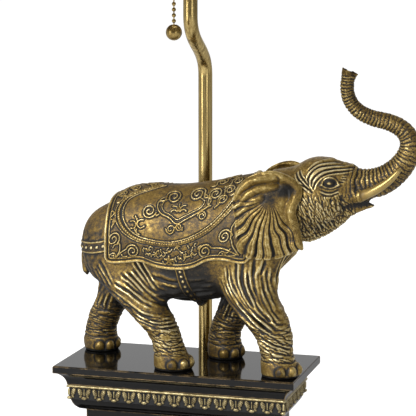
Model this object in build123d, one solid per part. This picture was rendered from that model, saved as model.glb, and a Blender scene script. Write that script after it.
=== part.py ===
"""Table lamp with a cast elephant on a moulded plinth.

Frame: millimetres, +X towards the elephant's head, +Y towards the back of the lamp, +Z up.
The origin is the centre of the plinth's footprint, on the table.
The elephant is a hollow casting in two halves that meet on a vertical plane along its spine. A bent brass
pipe rises behind it, carries the cord, and ends in a pull-chain socket, a harp and a fabric shade.
"""
import os
from math import atan2, cos, degrees, hypot, pi, radians, sin

from build123d import *

# ---- driving dimensions -------------------------------------------------------------------------
PLINTH_LENGTH = 194.0
PLINTH_DEPTH = 93.0
PLINTH_HEIGHT = 80.0
CORNICE_INSET = 8.7
DIE_INSET = 20.5

ELEPHANT_MID_Y = -2.5
CASTING_WALL = 5.0
LEG_SPREAD = 24.0

PIPE_RADIUS = 5.6
PIPE_BORE = 4.0
THREAD_RADIUS = 4.85
PIPE_FOOT = (3.0, 38.8)
PIPE_HEAD = (1.5, 3.0)
LOWER_BEND = 224.0
UPPER_BEND = 272.0
PIPE_TOP = 300.0

CORD_RADIUS = 2.3
CLEARANCE = 0.15

CHAIN_OFFSET = (-6.4, -22.2)
CHAIN_PITCH = 4.3
CHAIN_BEAD = 1.6
PULL_BALL_RADIUS = 6.2
PULL_BALL_HEIGHT = 260.0

HARP_WIDTH = 62.0
HARP_HEIGHT = 184.0
HARP_WIRE = 1.6

SHADE_BOTTOM = 289.0
SHADE_HEIGHT = 212.0
SHADE_BOTTOM_RADIUS = 190.0
SHADE_TOP_RADIUS = 112.0
SHADE_WALL = 1.0

DECK = PLINTH_HEIGHT
os.makedirs("parts", exist_ok=True)
written = []


def save(name, shape):
    """Writes one node and remembers its name."""
    shape.label = name
    export_step(shape, f"parts/{name}.step")
    written.append(name)
    return shape


def vertical_ellipse(x, z, half_height, half_width, mid_y=ELEPHANT_MID_Y):
    """An ellipse in a plane square to X, centred on the elephant's middle plane."""
    plane = Plane(origin=(x, mid_y, DECK + z), x_dir=(0, 1, 0), z_dir=(1, 0, 0))
    return plane * Ellipse(half_width, half_height)


def level_ellipse(x, y, z, half_x, half_y):
    """An ellipse in a level plane."""
    return Plane(origin=(x, y, DECK + z)) * Ellipse(half_x, half_y)


def tube_along(points, radii, mid_y=ELEPHANT_MID_Y):
    """A round limb lofted through circles square to a polyline in the elephant's middle plane."""
    faces = []
    for i, (x, z) in enumerate(points):
        before = points[max(i - 1, 0)]
        after = points[min(i + 1, len(points) - 1)]
        direction = (after[0] - before[0], 0, after[1] - before[1])
        faces.append(Plane(origin=(x, mid_y, DECK + z), x_dir=(0, 1, 0), z_dir=direction) * Circle(radii[i]))
    return loft(faces)


# ---- elephant -----------------------------------------------------------------------------------
# Torso stations: x, centre height, half height, half width.
TORSO = [
    (-84.5, 87.0, 12.0, 11.0),
    (-79.0, 87.0, 22.5, 21.0),
    (-66.0, 90.5, 32.0, 29.0),
    (-48.0, 95.5, 40.5, 32.5),
    (-25.0, 97.0, 43.0, 33.0),
    (0.0, 95.0, 45.5, 33.0),
    (25.0, 98.5, 46.0, 33.0),
    (48.0, 105.0, 44.5, 32.0),
    (68.0, 113.0, 41.0, 28.0),
    (88.0, 127.0, 33.0, 24.0),
]
# Head stations: x, centre height, half height, half width.
HEAD = [
    (72.0, 131.0, 24.0, 20.0),
    (84.0, 134.0, 29.0, 24.5),
    (98.0, 137.0, 29.0, 26.5),
    (112.0, 140.0, 26.0, 24.5),
    (124.0, 144.0, 19.5, 19.0),
    (133.0, 146.0, 14.0, 14.5),
]
TRUNK = [
    (124, 146, 15.0), (135, 146, 12.6), (146, 147.5, 11.2), (156, 151.5, 10.2), (165, 158.5, 9.4),
    (172, 167.5, 8.4), (175.5, 177, 7.3), (173, 186, 6.9), (166, 192.5, 6.6), (157, 196, 6.3),
    (147, 198, 6.1), (137.5, 201.5, 5.8), (130.5, 207, 5.5), (126, 214, 5.3), (124.8, 222, 5.1),
    (125.5, 229.5, 5.0), (125.5, 233.0, 3.6),
]
JAW = [(96, 116, 17.0), (110, 119, 14.0), (124, 124, 10.0), (136, 128.5, 6.5), (147, 132.0, 3.0)]
# Leg stations: height, x, half length, half width.
HIND_NEAR = [(92, -50, 24, 15), (72, -43, 27, 17), (58, -34, 23, 16), (46, -24.5, 19, 15),
             (34, -15.5, 15, 14), (22, -9, 12.5, 13), (12, -6, 13.5, 14), (4, -4, 15.5, 15),
             (0, -4, 15.5, 15)]
HIND_FAR = [(92, -58, 22, 15), (72, -60, 22, 16), (56, -63, 18, 15), (44, -69, 14.5, 14),
            (32, -75.5, 14, 13.5), (20, -80, 13.5, 13), (8, -81, 14.5, 14), (0, -80, 14.0, 14)]
FORE_NEAR = [(96, 54, 22, 14), (78, 54, 25, 17), (62, 57, 21.5, 17), (50, 64, 20, 16), (40, 71, 18, 15),
             (30, 76.5, 15, 14), (20, 78.5, 13.5, 13), (10, 80.5, 14, 14), (3, 82, 15, 15), (0, 82, 15, 15)]
FORE_FAR = [(96, 52, 20, 14), (76, 49, 20, 16), (60, 43, 17, 15), (46, 36.5, 15, 14), (32, 29.5, 14.5, 13.5),
            (20, 24.5, 13.5, 13), (8, 24.5, 14.5, 14), (0, 25, 14.5, 14)]
EAR = [(92, 158), (80, 160), (64, 161), (54, 155), (51, 139), (48, 122), (49, 105), (53, 91.5), (64, 88.5),
       (78, 88.5), (90, 95), (98, 104), (98, 122), (95, 140)]
EAR_THICKNESS = 4.0
EAR_SWING = 19.0
EAR_ROOT = (94.0, 22.0)
CLOTH_HEM = [(-55, 84), (-50, 82), (-36, 82.5), (-22, 84), (-11, 80.5), (5, 80), (17, 83), (31, 88.5),
             (44, 88), (55, 88)]
CLOTH_RISE = 1.6


def torso(grow=0.0):
    """The barrel of the body. A positive grow makes it fatter all round."""
    return loft([vertical_ellipse(x, z, high + grow, wide + grow) for x, z, high, wide in TORSO])


def leg(stations, side):
    """One leg. side is -1 for the near (right) legs and +1 for the far (left) ones."""
    y = ELEPHANT_MID_Y + side * LEG_SPREAD
    faces = []
    for z, x, half_x, half_y in reversed(stations):
        lean = 0.16 * max(0.0, z - 40)
        faces.append(level_ellipse(x, y - side * lean, z, half_x, half_y))
    return loft(faces)


def ear(side):
    """A fan-shaped ear that swings out and back from its root behind the cheek."""
    outline = Spline([(x - EAR_ROOT[0], z) for x, z in EAR], periodic=True)
    blade = extrude(Plane.XZ * make_face(outline), amount=EAR_THICKNESS / 2, both=True)
    blade = Rot(0, 0, -side * EAR_SWING) * blade
    return Pos(EAR_ROOT[0], ELEPHANT_MID_Y + side * EAR_ROOT[1], DECK) * blade


def cloth():
    """The saddle cloth: a raised layer over the back, down to a wavy hem."""
    hem = Spline([(x, DECK + z) for x, z in CLOTH_HEM])
    top = DECK + 170
    first, last = CLOTH_HEM[0], CLOTH_HEM[-1]
    corners = [(last[0], DECK + last[1]), (61, top), (first[0], top), (first[0], DECK + first[1])]
    rest = Polyline(*corners)
    window = extrude(Plane.XZ * make_face(Wire([*hem.edges(), *rest.edges()])), amount=60, both=True)
    return torso(CLOTH_RISE) & window


def tail():
    """The short tail, lying against the rump."""
    line = [(-76, 98), (-84, 91), (-87.5, 82), (-86.5, 74), (-84.5, 67)]
    return tube_along(line, [3.4, 3.0, 2.7, 3.2, 2.0])


def elephant():
    """The whole figure as one closed casting, before it is split into halves."""
    body = torso()
    body += loft([vertical_ellipse(x, z, high, wide) for x, z, high, wide in HEAD])
    body += tube_along([(x, z) for x, z, _ in TRUNK], [r for _, _, r in TRUNK])
    body += tube_along([(x, z) for x, z, _ in JAW], [r for _, _, r in JAW])
    for stations, side in ((HIND_NEAR, -1), (HIND_FAR, 1), (FORE_NEAR, -1), (FORE_FAR, 1)):
        body += leg(stations, side)
    body += ear(-1) + ear(1)
    body += cloth()
    body += tail()
    return body


# ---- halves, tusks and fastenings of the elephant ------------------------------------------------
# Foot bolts: x and side. Body screws: x and height.
FOOT_BOLTS = [(-76.0, 1), (-4.0, -1), (25.0, 1), (76.0, -1)]
BOLT_RADIUS = 2.5
BOLT_SPREAD = LEG_SPREAD - 3.5
BOLT_DEPTH = 14.0
BODY_SCREWS = [(-42.0, 98.0), (44.0, 106.0)]
SCREW_RADIUS = 2.0
SCREW_BOSS = 5.5
# Tusk stations: x, height, reach from the middle plane, radius.
TUSK = [(133, 138.5, 9.0, 3.6), (141, 140.0, 13.0, 3.8), (149, 143.5, 15.5, 3.7), (157, 148.5, 16.0, 3.3),
        (164, 154.0, 15.0, 2.8), (169.5, 160.0, 13.5, 1.9)]
SCREW_HEAD_Y = ELEPHANT_MID_Y + 28.0


def tusk(side, grow=0.0):
    """One tusk: a curved taper pegged into the cheek."""
    faces = []
    for i, (x, z, y, r) in enumerate(TUSK):
        before = TUSK[max(i - 1, 0)]
        after = TUSK[min(i + 1, len(TUSK) - 1)]
        direction = (after[0] - before[0], side * (after[2] - before[2]), after[1] - before[1])
        origin = (x, ELEPHANT_MID_Y + side * y, DECK + z)
        faces.append(Plane(origin=origin, x_dir=(0, 1, 0), z_dir=direction) * Circle(r + grow))
    return loft(faces)


def across(x, z, radius, start, length):
    """A cylinder along +Y that starts at y = start."""
    plane = Plane(origin=(x, start, DECK + z), x_dir=(1, 0, 0), z_dir=(0, 1, 0))
    return extrude(plane * Circle(radius), amount=length)


def elephant_halves():
    """The casting, hollowed, bored for its screws and split along the spine into near and far halves."""
    solid = elephant()
    room = Pos(2, ELEPHANT_MID_Y, DECK + 100) * Box(160, 100, 120)
    bosses = Part() + [across(x, z, SCREW_BOSS, ELEPHANT_MID_Y - 33, 66) for x, z in BODY_SCREWS]
    solid -= torso(-CASTING_WALL) & room - bosses
    for x, side in FOOT_BOLTS:
        y = ELEPHANT_MID_Y + side * BOLT_SPREAD
        solid -= Pos(x, y, DECK + BOLT_DEPTH / 2) * Cylinder(BOLT_RADIUS + CLEARANCE, BOLT_DEPTH)
    for x, z in BODY_SCREWS:
        solid -= across(x, z, SCREW_RADIUS + CLEARANCE, ELEPHANT_MID_Y - 14, 60)
        solid -= across(x, z, SCREW_RADIUS * 2 + CLEARANCE, SCREW_HEAD_Y, 20)
    for side in (-1, 1):
        solid -= tusk(side, CLEARANCE)
    near = solid & Pos(40, ELEPHANT_MID_Y - 40, DECK + 130) * Box(320, 80, 300)
    far = solid & Pos(40, ELEPHANT_MID_Y + 40, DECK + 130) * Box(320, 80, 300)
    return near, far


def body_screws():
    """Two cheese-head screws that pull the far half onto the near half."""
    found = []
    for x, z in BODY_SCREWS:
        shank = across(x, z, SCREW_RADIUS, ELEPHANT_MID_Y - 12, SCREW_HEAD_Y - ELEPHANT_MID_Y + 12)
        head = across(x, z, SCREW_RADIUS * 2, SCREW_HEAD_Y, 2.6)
        slot = Pos(x, SCREW_HEAD_Y + 2.6, DECK + z) * Box(9, 1.6, 1.0)
        found.append(shank + head - slot)
    return Compound(children=found)


# ---- plinth -------------------------------------------------------------------------------------
FELT = 1.0
SLAB_FACE = 6.0
COVE_FOOT = 16.3
BAND_FOOT = 28.5
BAND_DEPTH = 2.2
CORNICE_FOOT = 41.0
BASE_TOP = 24.0
SLAB_UNDER = PLINTH_HEIGHT - 8.0
BAND_TOP_Z = PLINTH_HEIGHT - COVE_FOOT
BAND_FOOT_Z = PLINTH_HEIGHT - BAND_FOOT
COVER_Z = FELT + 3.0
COVER_SIZE = (160.0, 66.0)
CAVITY = (143.0, 42.0)
UPPER_CAVITY = (162.0, 61.0)
COVER_SCREWS = [(sx * 76.0, sy * 27.0) for sx in (-1, 1) for sy in (-1, 1)]
REAR_BOSS = (32.0, 28.5)
BOSS_BACK = PLINTH_DEPTH / 2 + 2.0
CORD_EXIT_Z = 16.0

# Profile from the top down: inset from the slab's edge, height, and the sagitta of the run that ends there.
PLINTH_PROFILE = [
    (0.8, PLINTH_HEIGHT, 0), (0, PLINTH_HEIGHT - 0.8, 0), (0, PLINTH_HEIGHT - SLAB_FACE, 0),
    (1.2, PLINTH_HEIGHT - SLAB_FACE, 0), (CORNICE_INSET, BAND_TOP_Z, -1.9),
    (CORNICE_INSET + BAND_DEPTH, BAND_TOP_Z, 0), (CORNICE_INSET + BAND_DEPTH, BAND_FOOT_Z, 0),
    (DIE_INSET - 4, PLINTH_HEIGHT - CORNICE_FOOT + 4, 1.0),
    (DIE_INSET, PLINTH_HEIGHT - CORNICE_FOOT + 2.5, 0),
    (DIE_INSET, BASE_TOP, 0), (9.0, 12.0, 2.2), (3.0, 11.0, 0), (3.0, FELT, 0),
]
BAND_PROFILE = [
    (CORNICE_INSET - 0.3, BAND_TOP_Z - 0.02, 0), (CORNICE_INSET - 0.3, BAND_TOP_Z - 3.0, 1.2),
    (CORNICE_INSET, BAND_TOP_Z - 3.0, 0), (CORNICE_INSET, BAND_FOOT_Z + 3.0, 0),
    (CORNICE_INSET + 1.2, BAND_FOOT_Z, 0),
]


def profile_face(steps, half):
    """A symmetric upright section: the stepped side on +u, its mirror on -u."""
    edges = []
    for (inset_a, z_a, _), (inset_b, z_b, bulge) in zip(steps, steps[1:]):
        a, b = (half - inset_a, z_a), (half - inset_b, z_b)
        edges.append(SagittaArc(a, b, bulge) if bulge else Line(a, b))
        a, b = (inset_a - half, z_a), (inset_b - half, z_b)
        edges.append(SagittaArc(a, b, -bulge) if bulge else Line(a, b))
    for inset, z, _ in (steps[0], steps[-1]):
        edges.append(Line((inset - half, z), (half - inset, z)))
    return make_face(Wire([e for piece in edges for e in piece.edges()]))


def moulded_block(steps):
    """A rectangular block with the same moulding, mitred, on all four sides."""
    half_x, half_y = PLINTH_LENGTH / 2, PLINTH_DEPTH / 2
    along_y = extrude(Plane.XZ * profile_face(steps, half_x), amount=half_y + 1, both=True)
    along_x = extrude(Plane.YZ * profile_face(steps, half_y), amount=half_x + 1, both=True)
    return along_y & along_x


def block(size_x, size_y, low, high, x=0.0, y=0.0):
    """An upright box given by its plan size and its lowest and highest z."""
    return Pos(x, y, (low + high) / 2) * Box(size_x, size_y, high - low)


def rear_boss(grow=0.0):
    """The upright block at the back that the pipe stands in."""
    return block(REAR_BOSS[0] + grow, REAR_BOSS[1] + grow, FELT, PLINTH_HEIGHT - 1, PIPE_FOOT[0],
                 BOSS_BACK - REAR_BOSS[1] / 2)


def plinth():
    """The black casting: mouldings outside, hollow and open below."""
    body = moulded_block(PLINTH_PROFILE) + rear_boss()
    body -= block(*COVER_SIZE, FELT - 1, COVER_Z)
    body -= block(*CAVITY, COVER_Z - 1, BAND_FOOT_Z)
    body -= block(*UPPER_CAVITY, BAND_FOOT_Z - 1, SLAB_UNDER)
    body -= block(24.0, 28.0, COVER_Z + 2, SLAB_UNDER, PIPE_FOOT[0], BOSS_BACK - 2.2 - 14.0)
    body -= Pos(*PIPE_FOOT, PLINTH_HEIGHT) * Cylinder(THREAD_RADIUS + CLEARANCE, 40)
    for x, side in FOOT_BOLTS:
        y = ELEPHANT_MID_Y + side * BOLT_SPREAD
        body -= Pos(x, y, PLINTH_HEIGHT) * Cylinder(BOLT_RADIUS + CLEARANCE, 40)
    for x, y in COVER_SCREWS:
        body -= Pos(x, y, COVER_Z + 3.5) * Cylinder(1.6, 9)
    body -= Pos(PIPE_FOOT[0], BOSS_BACK, CORD_EXIT_Z) * Rot(90, 0, 0) * Cylinder(4.5, 12)
    return body


def leaf_band():
    """The gilt strip let into the cornice: a bead above a row of leaves (plain here)."""
    ring = moulded_block(BAND_PROFILE)
    inner = 2 * (CORNICE_INSET + BAND_DEPTH)
    ring -= block(PLINTH_LENGTH - inner, PLINTH_DEPTH - inner, BAND_FOOT_Z - 1, BAND_TOP_Z + 1)
    return ring - rear_boss(0.3)


def cover_screws():
    """Four countersunk screws through the base cover."""
    found = []
    for x, y in COVER_SCREWS:
        shank = Pos(x, y, FELT + 5.0) * Cylinder(1.5, 10)
        found.append(shank + Pos(x, y, FELT + 0.9) * Cone(3.0, 1.5, 1.8))
    return Compound(children=found)


def base_cover():
    """The board that closes the plinth from below."""
    board = block(COVER_SIZE[0] - 0.6, COVER_SIZE[1] - 0.6, FELT, COVER_Z)
    for x, y in COVER_SCREWS:
        board -= Pos(x, y, FELT + 0.9) * Cone(3.1, 1.6, 1.8) + Pos(x, y, COVER_Z - 1) * Cylinder(1.6, 8)
    return board


def hexagon(radius, low, high, bore, x, y):
    """A hexagon nut with a plain bore."""
    nut = Pos(x, y, low) * extrude(RegularPolygon(radius, 6), amount=high - low)
    return nut - Pos(x, y, low) * Cylinder(bore, 60)


def washer(radius, bore, low, high, x, y):
    """A flat ring."""
    return Pos(x, y, (low + high) / 2) * (Cylinder(radius, high - low) - Cylinder(bore, high))


def foot_bolts():
    """Four hexagon-head bolts from inside the plinth up into the feet."""
    found = []
    for x, side in FOOT_BOLTS:
        y = ELEPHANT_MID_Y + side * BOLT_SPREAD
        low, top = SLAB_UNDER - 1.2, DECK + BOLT_DEPTH - 1
        shank = Pos(x, y, (low + top) / 2) * Cylinder(BOLT_RADIUS, top - low)
        found.append(shank + Pos(x, y, low - 4) * extrude(RegularPolygon(4.4, 6), amount=4))
    return Compound(children=found)


def foot_washers():
    """One washer under each bolt head."""
    found = []
    for x, side in FOOT_BOLTS:
        y = ELEPHANT_MID_Y + side * BOLT_SPREAD
        found.append(washer(5.0, BOLT_RADIUS + CLEARANCE, SLAB_UNDER - 1.2, SLAB_UNDER, x, y))
    return Compound(children=found)


# ---- pipe and cord ------------------------------------------------------------------------------
def pipe_line(low, high):
    """The centre line of the pipe: upright, an S bend forwards to the lamp's middle, upright again."""
    foot, head = Vector(*PIPE_FOOT), Vector(*PIPE_HEAD)
    a = foot + Vector(0, 0, DECK + LOWER_BEND)
    b = head + Vector(0, 0, DECK + UPPER_BEND)
    lower = Line(foot + Vector(0, 0, low), a)
    bend = Spline(a, b, tangents=[(0, 0, 1), (0, 0, 1)], tangent_scalars=[1.25, 1.25])
    upper = Line(b, head + Vector(0, 0, high))
    return Wire([*lower.edges(), *bend.edges(), *upper.edges()])


def swept(path, radius):
    """A round bar along a path."""
    start = path @ 0
    return sweep(Plane(origin=start, z_dir=path % 0) * Circle(radius), path=path)


def lamp_pipe():
    """The bent brass pipe, with a reduced thread at each end and a bore for the cord."""
    tube = swept(pipe_line(DECK, DECK + PIPE_TOP), PIPE_RADIUS)
    tube += Pos(*PIPE_FOOT, DECK - 10) * Cylinder(THREAD_RADIUS, 20)
    tube += Pos(*PIPE_HEAD, DECK + PIPE_TOP + 8) * Cylinder(THREAD_RADIUS, 16)
    return tube - swept(pipe_line(DECK - 25, DECK + PIPE_TOP + 20), PIPE_BORE)


def cord():
    """The flex: from the socket, down the pipe, out of the back and along the table to the plug."""
    foot = Vector(*PIPE_FOOT)
    inside = pipe_line(DECK - 25, DECK + PIPE_TOP + 22)
    down = foot + Vector(0, 0, DECK - 25)
    exit_in = Vector(foot.X, BOSS_BACK - 5, CORD_EXIT_Z)
    exit_out = Vector(foot.X, BOSS_BACK + 5, CORD_EXIT_Z)
    lie = CORD_RADIUS + 0.1
    inner = Spline(exit_in, (foot.X, 35.2, 30), down, tangents=[(0, -1, 0), (0, 0, 1)])
    bore = Line(exit_out, exit_in)
    table = [(-5.0, 81.5, lie + 0.6), (4.0, 72.0, lie + 1.2)]
    outer = Spline(CORD_END, *table, exit_out, tangents=[(1, 0, 0), (0, -1, 0)])
    path = Wire([*outer.edges(), *bore.edges(), *inner.edges(), *inside.edges()])
    return swept(path, CORD_RADIUS)


CORD_END = (-22.0, 80.0, 8.0)


def plug_body():
    """The moulded plug at the cord's end."""
    x, y, z = CORD_END
    steps = []
    for back, wide, high in ((0, 8, 7), (8, 11, 9), (18, 19, 13), (28, 24, 15.6)):
        plane = Plane(origin=(x + 1 - back, y, z), x_dir=(0, 1, 0), z_dir=(-1, 0, 0))
        steps.append(plane * RectangleRounded(wide, high, high / 2.2))
    shell = loft(steps)
    shell -= Pos(x, y, z) * Rot(0, 90, 0) * Cylinder(CORD_RADIUS + CLEARANCE, 14)
    for side in (-1, 1):
        shell -= Pos(x - 26, y + side * 6.35, z) * Box(10, 1.7, 6.6)
    return shell


def plug_blades():
    """Two flat brass blades."""
    x, y, z = CORD_END
    blades = []
    for side in (-1, 1):
        blade = Pos(x - 33, y + side * 6.35, z) * Box(24, 1.5, 6.3)
        blades.append(blade - Pos(x - 41, y + side * 6.35, z) * Rot(90, 0, 0) * Cylinder(1.6, 4))
    return Compound(children=blades)


def cord_bushing():
    """The grommet that guards the cord where it leaves the plinth."""
    ring = Cylinder(4.4, 6) + Pos(0, 0, -3.9) * Cylinder(6.5, 1.8)
    ring -= Cylinder(CORD_RADIUS + CLEARANCE, 20)
    return Pos(PIPE_FOOT[0], BOSS_BACK - 3, CORD_EXIT_Z) * Rot(90, 0, 0) * ring


# ---- socket, bulb, harp and shade ---------------------------------------------------------------
HEAD_Z = DECK + PIPE_TOP
RING_TOP = HEAD_Z + 3.0
SADDLE_TOP = RING_TOP + 1.6
NUT_TOP = SADDLE_TOP + 3.6
CAP_HEIGHT = 20.0
SHELL_LOW = NUT_TOP + 14.5
SHELL_HEIGHT = 49.0
BODY_TOP = SHELL_LOW + 23.0
ROTOR_Z = SHELL_LOW + 11.0
BULB_LOW = BODY_TOP + 2.4
GUIDE_Z = SHELL_LOW + 6.0
GUIDE_LENGTH = 16.0
HARP_TOP = HEAD_Z + HARP_HEIGHT
STUD_RADIUS = 3.1
SHADE_LOW = DECK + SHADE_BOTTOM
SHADE_HIGH = SHADE_LOW + SHADE_HEIGHT


def turned(points, x=PIPE_HEAD[0], y=PIPE_HEAD[1]):
    """A solid of revolution about the lamp's upright axis, from (radius, height) corners."""
    return Pos(x, y, 0) * revolve(Plane.XZ * make_face(Polyline(*points, close=True)), Axis.Z)


def check_ring():
    """The small turned collar between the pipe and the harp."""
    b = THREAD_RADIUS + CLEARANCE
    outer = [(b, HEAD_Z), (8, HEAD_Z), (10.5, HEAD_Z + 1.2), (10.5, HEAD_Z + 2), (9, RING_TOP)]
    return turned([*outer, (b, RING_TOP)])


def harp_saddle():
    """The bracket under the socket that the harp's legs slip onto."""
    half = HARP_WIDTH / 2
    strip = block(HARP_WIDTH, 12, RING_TOP, SADDLE_TOP)
    for side in (-1, 1):
        strip += block(1.6, 7, RING_TOP, RING_TOP + 16, side * (half - 0.8))
    strip = Pos(*PIPE_HEAD, 0) * strip
    return strip - Pos(*PIPE_HEAD, RING_TOP) * Cylinder(THREAD_RADIUS + CLEARANCE, 10)


def harp():
    """The wire bow that carries the shade, with a top plate and a threaded stud."""
    half = HARP_WIDTH / 2 + HARP_WIRE + CLEARANCE
    low = RING_TOP + 4
    points = [(half, low + 22), (half + 24, low + 70), (half + 26, low + 115), (half + 4, HARP_TOP - 12)]
    end = (8, HARP_TOP - 1.8)
    bow = Part()
    for side in (-1, 1):
        x, y = PIPE_HEAD
        post = Line((x + side * half, y, low), (x + side * half, y, points[0][1]))
        run = Spline([(x + side * u, y, z) for u, z in [*points, end]], tangents=[(0, 0, 1), (-side, 0, 0)])
        bow += swept(Wire([*post.edges(), *run.edges()]), HARP_WIRE)
    bow += block(20, 9, HARP_TOP - 3.2, HARP_TOP, *PIPE_HEAD)
    return bow + Pos(*PIPE_HEAD, HARP_TOP + 8) * Cylinder(STUD_RADIUS, 16)


def socket_cap():
    """The bell-shaped brass cap at the foot of the socket."""
    b = THREAD_RADIUS + CLEARANCE
    z = NUT_TOP
    outer = [(b, z), (8.5, z), (9, z + 4), (13, z + 9), (17, z + 13), (17, z + CAP_HEIGHT)]
    inner = [(16.1, z + CAP_HEIGHT), (16.1, z + 13.6), (12.4, z + 10), (8.2, z + 7), (b, z + 7)]
    return turned(outer + inner)


def chain_spot(radius):
    """A plan point on the line from the socket's axis through the chain."""
    reach = hypot(*CHAIN_OFFSET)
    return PIPE_HEAD[0] + CHAIN_OFFSET[0] * radius / reach, PIPE_HEAD[1] + CHAIN_OFFSET[1] * radius / reach


def radial_bar(radius, start, stop, z):
    """A level bar along the chain's direction, from start to stop radius."""
    heading = degrees(atan2(CHAIN_OFFSET[1], CHAIN_OFFSET[0]))
    bar = Pos((start + stop) / 2, 0, 0) * Rot(0, 90, 0) * Cylinder(radius, stop - start)
    return Pos(*PIPE_HEAD, z) * Rot(0, 0, heading) * bar


def socket_shell():
    """The brass shell, pierced for the chain guide."""
    z = SHELL_LOW
    top = z + SHELL_HEIGHT
    sleeve = turned([(15.0, z), (15.95, z), (15.95, top - 3), (16.6, top - 2), (16.6, top), (15.0, top)])
    return sleeve - radial_bar(2.7, 10, 30, GUIDE_Z + 4)


def socket_liner():
    """The fibre tube between the shell and the live parts."""
    z = SHELL_LOW
    sleeve = turned([(14.1, z), (14.85, z), (14.85, z + SHELL_HEIGHT - 1), (14.1, z + SHELL_HEIGHT - 1)])
    return sleeve - radial_bar(2.7, 10, 30, GUIDE_Z + 4)


def socket_body():
    """The phenolic block that holds the switch."""
    core = Pos(*PIPE_HEAD, (SHELL_LOW + BODY_TOP) / 2) * Cylinder(14.0, BODY_TOP - SHELL_LOW)
    core -= block(8.4, 13.4, ROTOR_Z - 6.7, ROTOR_Z + 6.7, *PIPE_HEAD)
    core -= Pos(*PIPE_HEAD, ROTOR_Z) * Rot(0, 90, 0) * Cylinder(1.3, 16)
    core -= radial_bar(2.7, 5, 30, GUIDE_Z + 4)
    return core - Pos(*PIPE_HEAD, SHELL_LOW) * Cylinder(CORD_RADIUS + 1.0, 10)


def switch_rotor():
    """The eight-toothed ratchet that the chain steps round."""
    corners = []
    for k in range(8):
        turn = 2 * pi * k / 8
        corners.append((5.8 * cos(turn), 5.8 * sin(turn)))
        corners.append((4.6 * cos(turn + 0.12), 4.6 * sin(turn + 0.12)))
    outline = Polyline(*corners, close=True)
    wheel = Plane(origin=(PIPE_HEAD[0] - 3.8, PIPE_HEAD[1], ROTOR_Z), z_dir=(1, 0, 0)) * make_face(outline)
    axle = Pos(*PIPE_HEAD, ROTOR_Z) * Rot(0, 90, 0) * Cylinder(1.2, 15)
    return extrude(wheel, amount=7.6) + axle


def screw_shell():
    """The threaded metal sleeve, drawn plain."""
    return turned([(13.35, BODY_TOP), (13.85, BODY_TOP), (13.85, BODY_TOP + 24), (13.35, BODY_TOP + 24)])


def centre_contact():
    """The spring tongue under the bulb."""
    return Pos(*PIPE_HEAD, BODY_TOP + 0.9) * (Box(16, 5, 1.8) - Pos(4, 0, -0.6) * Box(9, 6, 1.0))


def chain_guide():
    """The bell mouth that turns the chain downwards."""
    x, y = chain_spot(hypot(*CHAIN_OFFSET))
    bar = radial_bar(2.5, 14.2, hypot(*CHAIN_OFFSET), GUIDE_Z + 4)
    bell = Pos(x, y, GUIDE_Z) * Cylinder(3.3, GUIDE_LENGTH)
    lip = Pos(x, y, GUIDE_Z - GUIDE_LENGTH / 2 + 1) * Cone(4.0, 3.3, 2)
    return bar + bell + lip - Pos(x, y, GUIDE_Z - 1.5) * Cylinder(CHAIN_BEAD + 0.5, GUIDE_LENGTH)


def pull_chain():
    """Ball chain from inside the guide down to the pull."""
    x, y = chain_spot(hypot(*CHAIN_OFFSET))
    top = GUIDE_Z + GUIDE_LENGTH / 2 - 3.6
    low = DECK + PULL_BALL_HEIGHT + PULL_BALL_RADIUS - 1.0
    count = int((top - low) / CHAIN_PITCH) + 1
    links = Pos(x, y, (top + low) / 2) * Cylinder(0.5, top - low)
    for k in range(count):
        links += Pos(x, y, top - k * CHAIN_PITCH) * Sphere(CHAIN_BEAD)
    return links


def pull_ball():
    """The brass ball on the chain's end."""
    x, y = chain_spot(hypot(*CHAIN_OFFSET))
    ball = Sphere(PULL_BALL_RADIUS) - Pos(0, 0, PULL_BALL_RADIUS) * Cylinder(CHAIN_BEAD + 0.3, 9)
    return Pos(x, y, DECK + PULL_BALL_HEIGHT) * ball


def bulb_base():
    """The bulb's screw cap and contact tip, drawn plain."""
    z = BULB_LOW
    outer = [(0, z), (4.5, z), (5.5, z + 3), (13.1, z + 4.5), (13.1, z + 26)]
    return turned([*outer, (12.6, z + 26), (12.6, z + 6), (0, z + 6)])


def bulb_glass():
    """The frosted envelope: a neck that swells into a round globe."""
    x, y = PIPE_HEAD
    neck = BULB_LOW + 26.1
    globe = BULB_LOW + 76.0

    def envelope(radius, neck_radius, low):
        waist = (neck_radius + 2.5, low + 12)
        side = Spline((neck_radius, low), waist, (radius * 0.94, globe - 10), (radius, globe),
                      tangents=[(0, 1), (0, 1)])
        crown = RadiusArc((radius, globe), (0, globe + radius), -radius)
        rest = Polyline((0, globe + radius), (0, low), (neck_radius, low))
        return revolve(Plane.XZ * make_face(Wire([*side.edges(), *crown.edges(), *rest.edges()])), Axis.Z)

    return Pos(x, y, 0) * (envelope(30.0, 13.0, neck) - envelope(29.1, 12.1, neck - 0.5))


def shade_radius(z):
    """Outer radius of the fabric cone at a height."""
    share = (z - SHADE_LOW) / SHADE_HEIGHT
    return SHADE_BOTTOM_RADIUS + share * (SHADE_TOP_RADIUS - SHADE_BOTTOM_RADIUS)


def cone_skin(low, high, inner, outer):
    """A conical skin that follows the shade, between two offsets from its outer face."""
    return turned([(shade_radius(low) + inner, low), (shade_radius(low) + outer, low),
                   (shade_radius(high) + outer, high), (shade_radius(high) + inner, high)])


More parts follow.
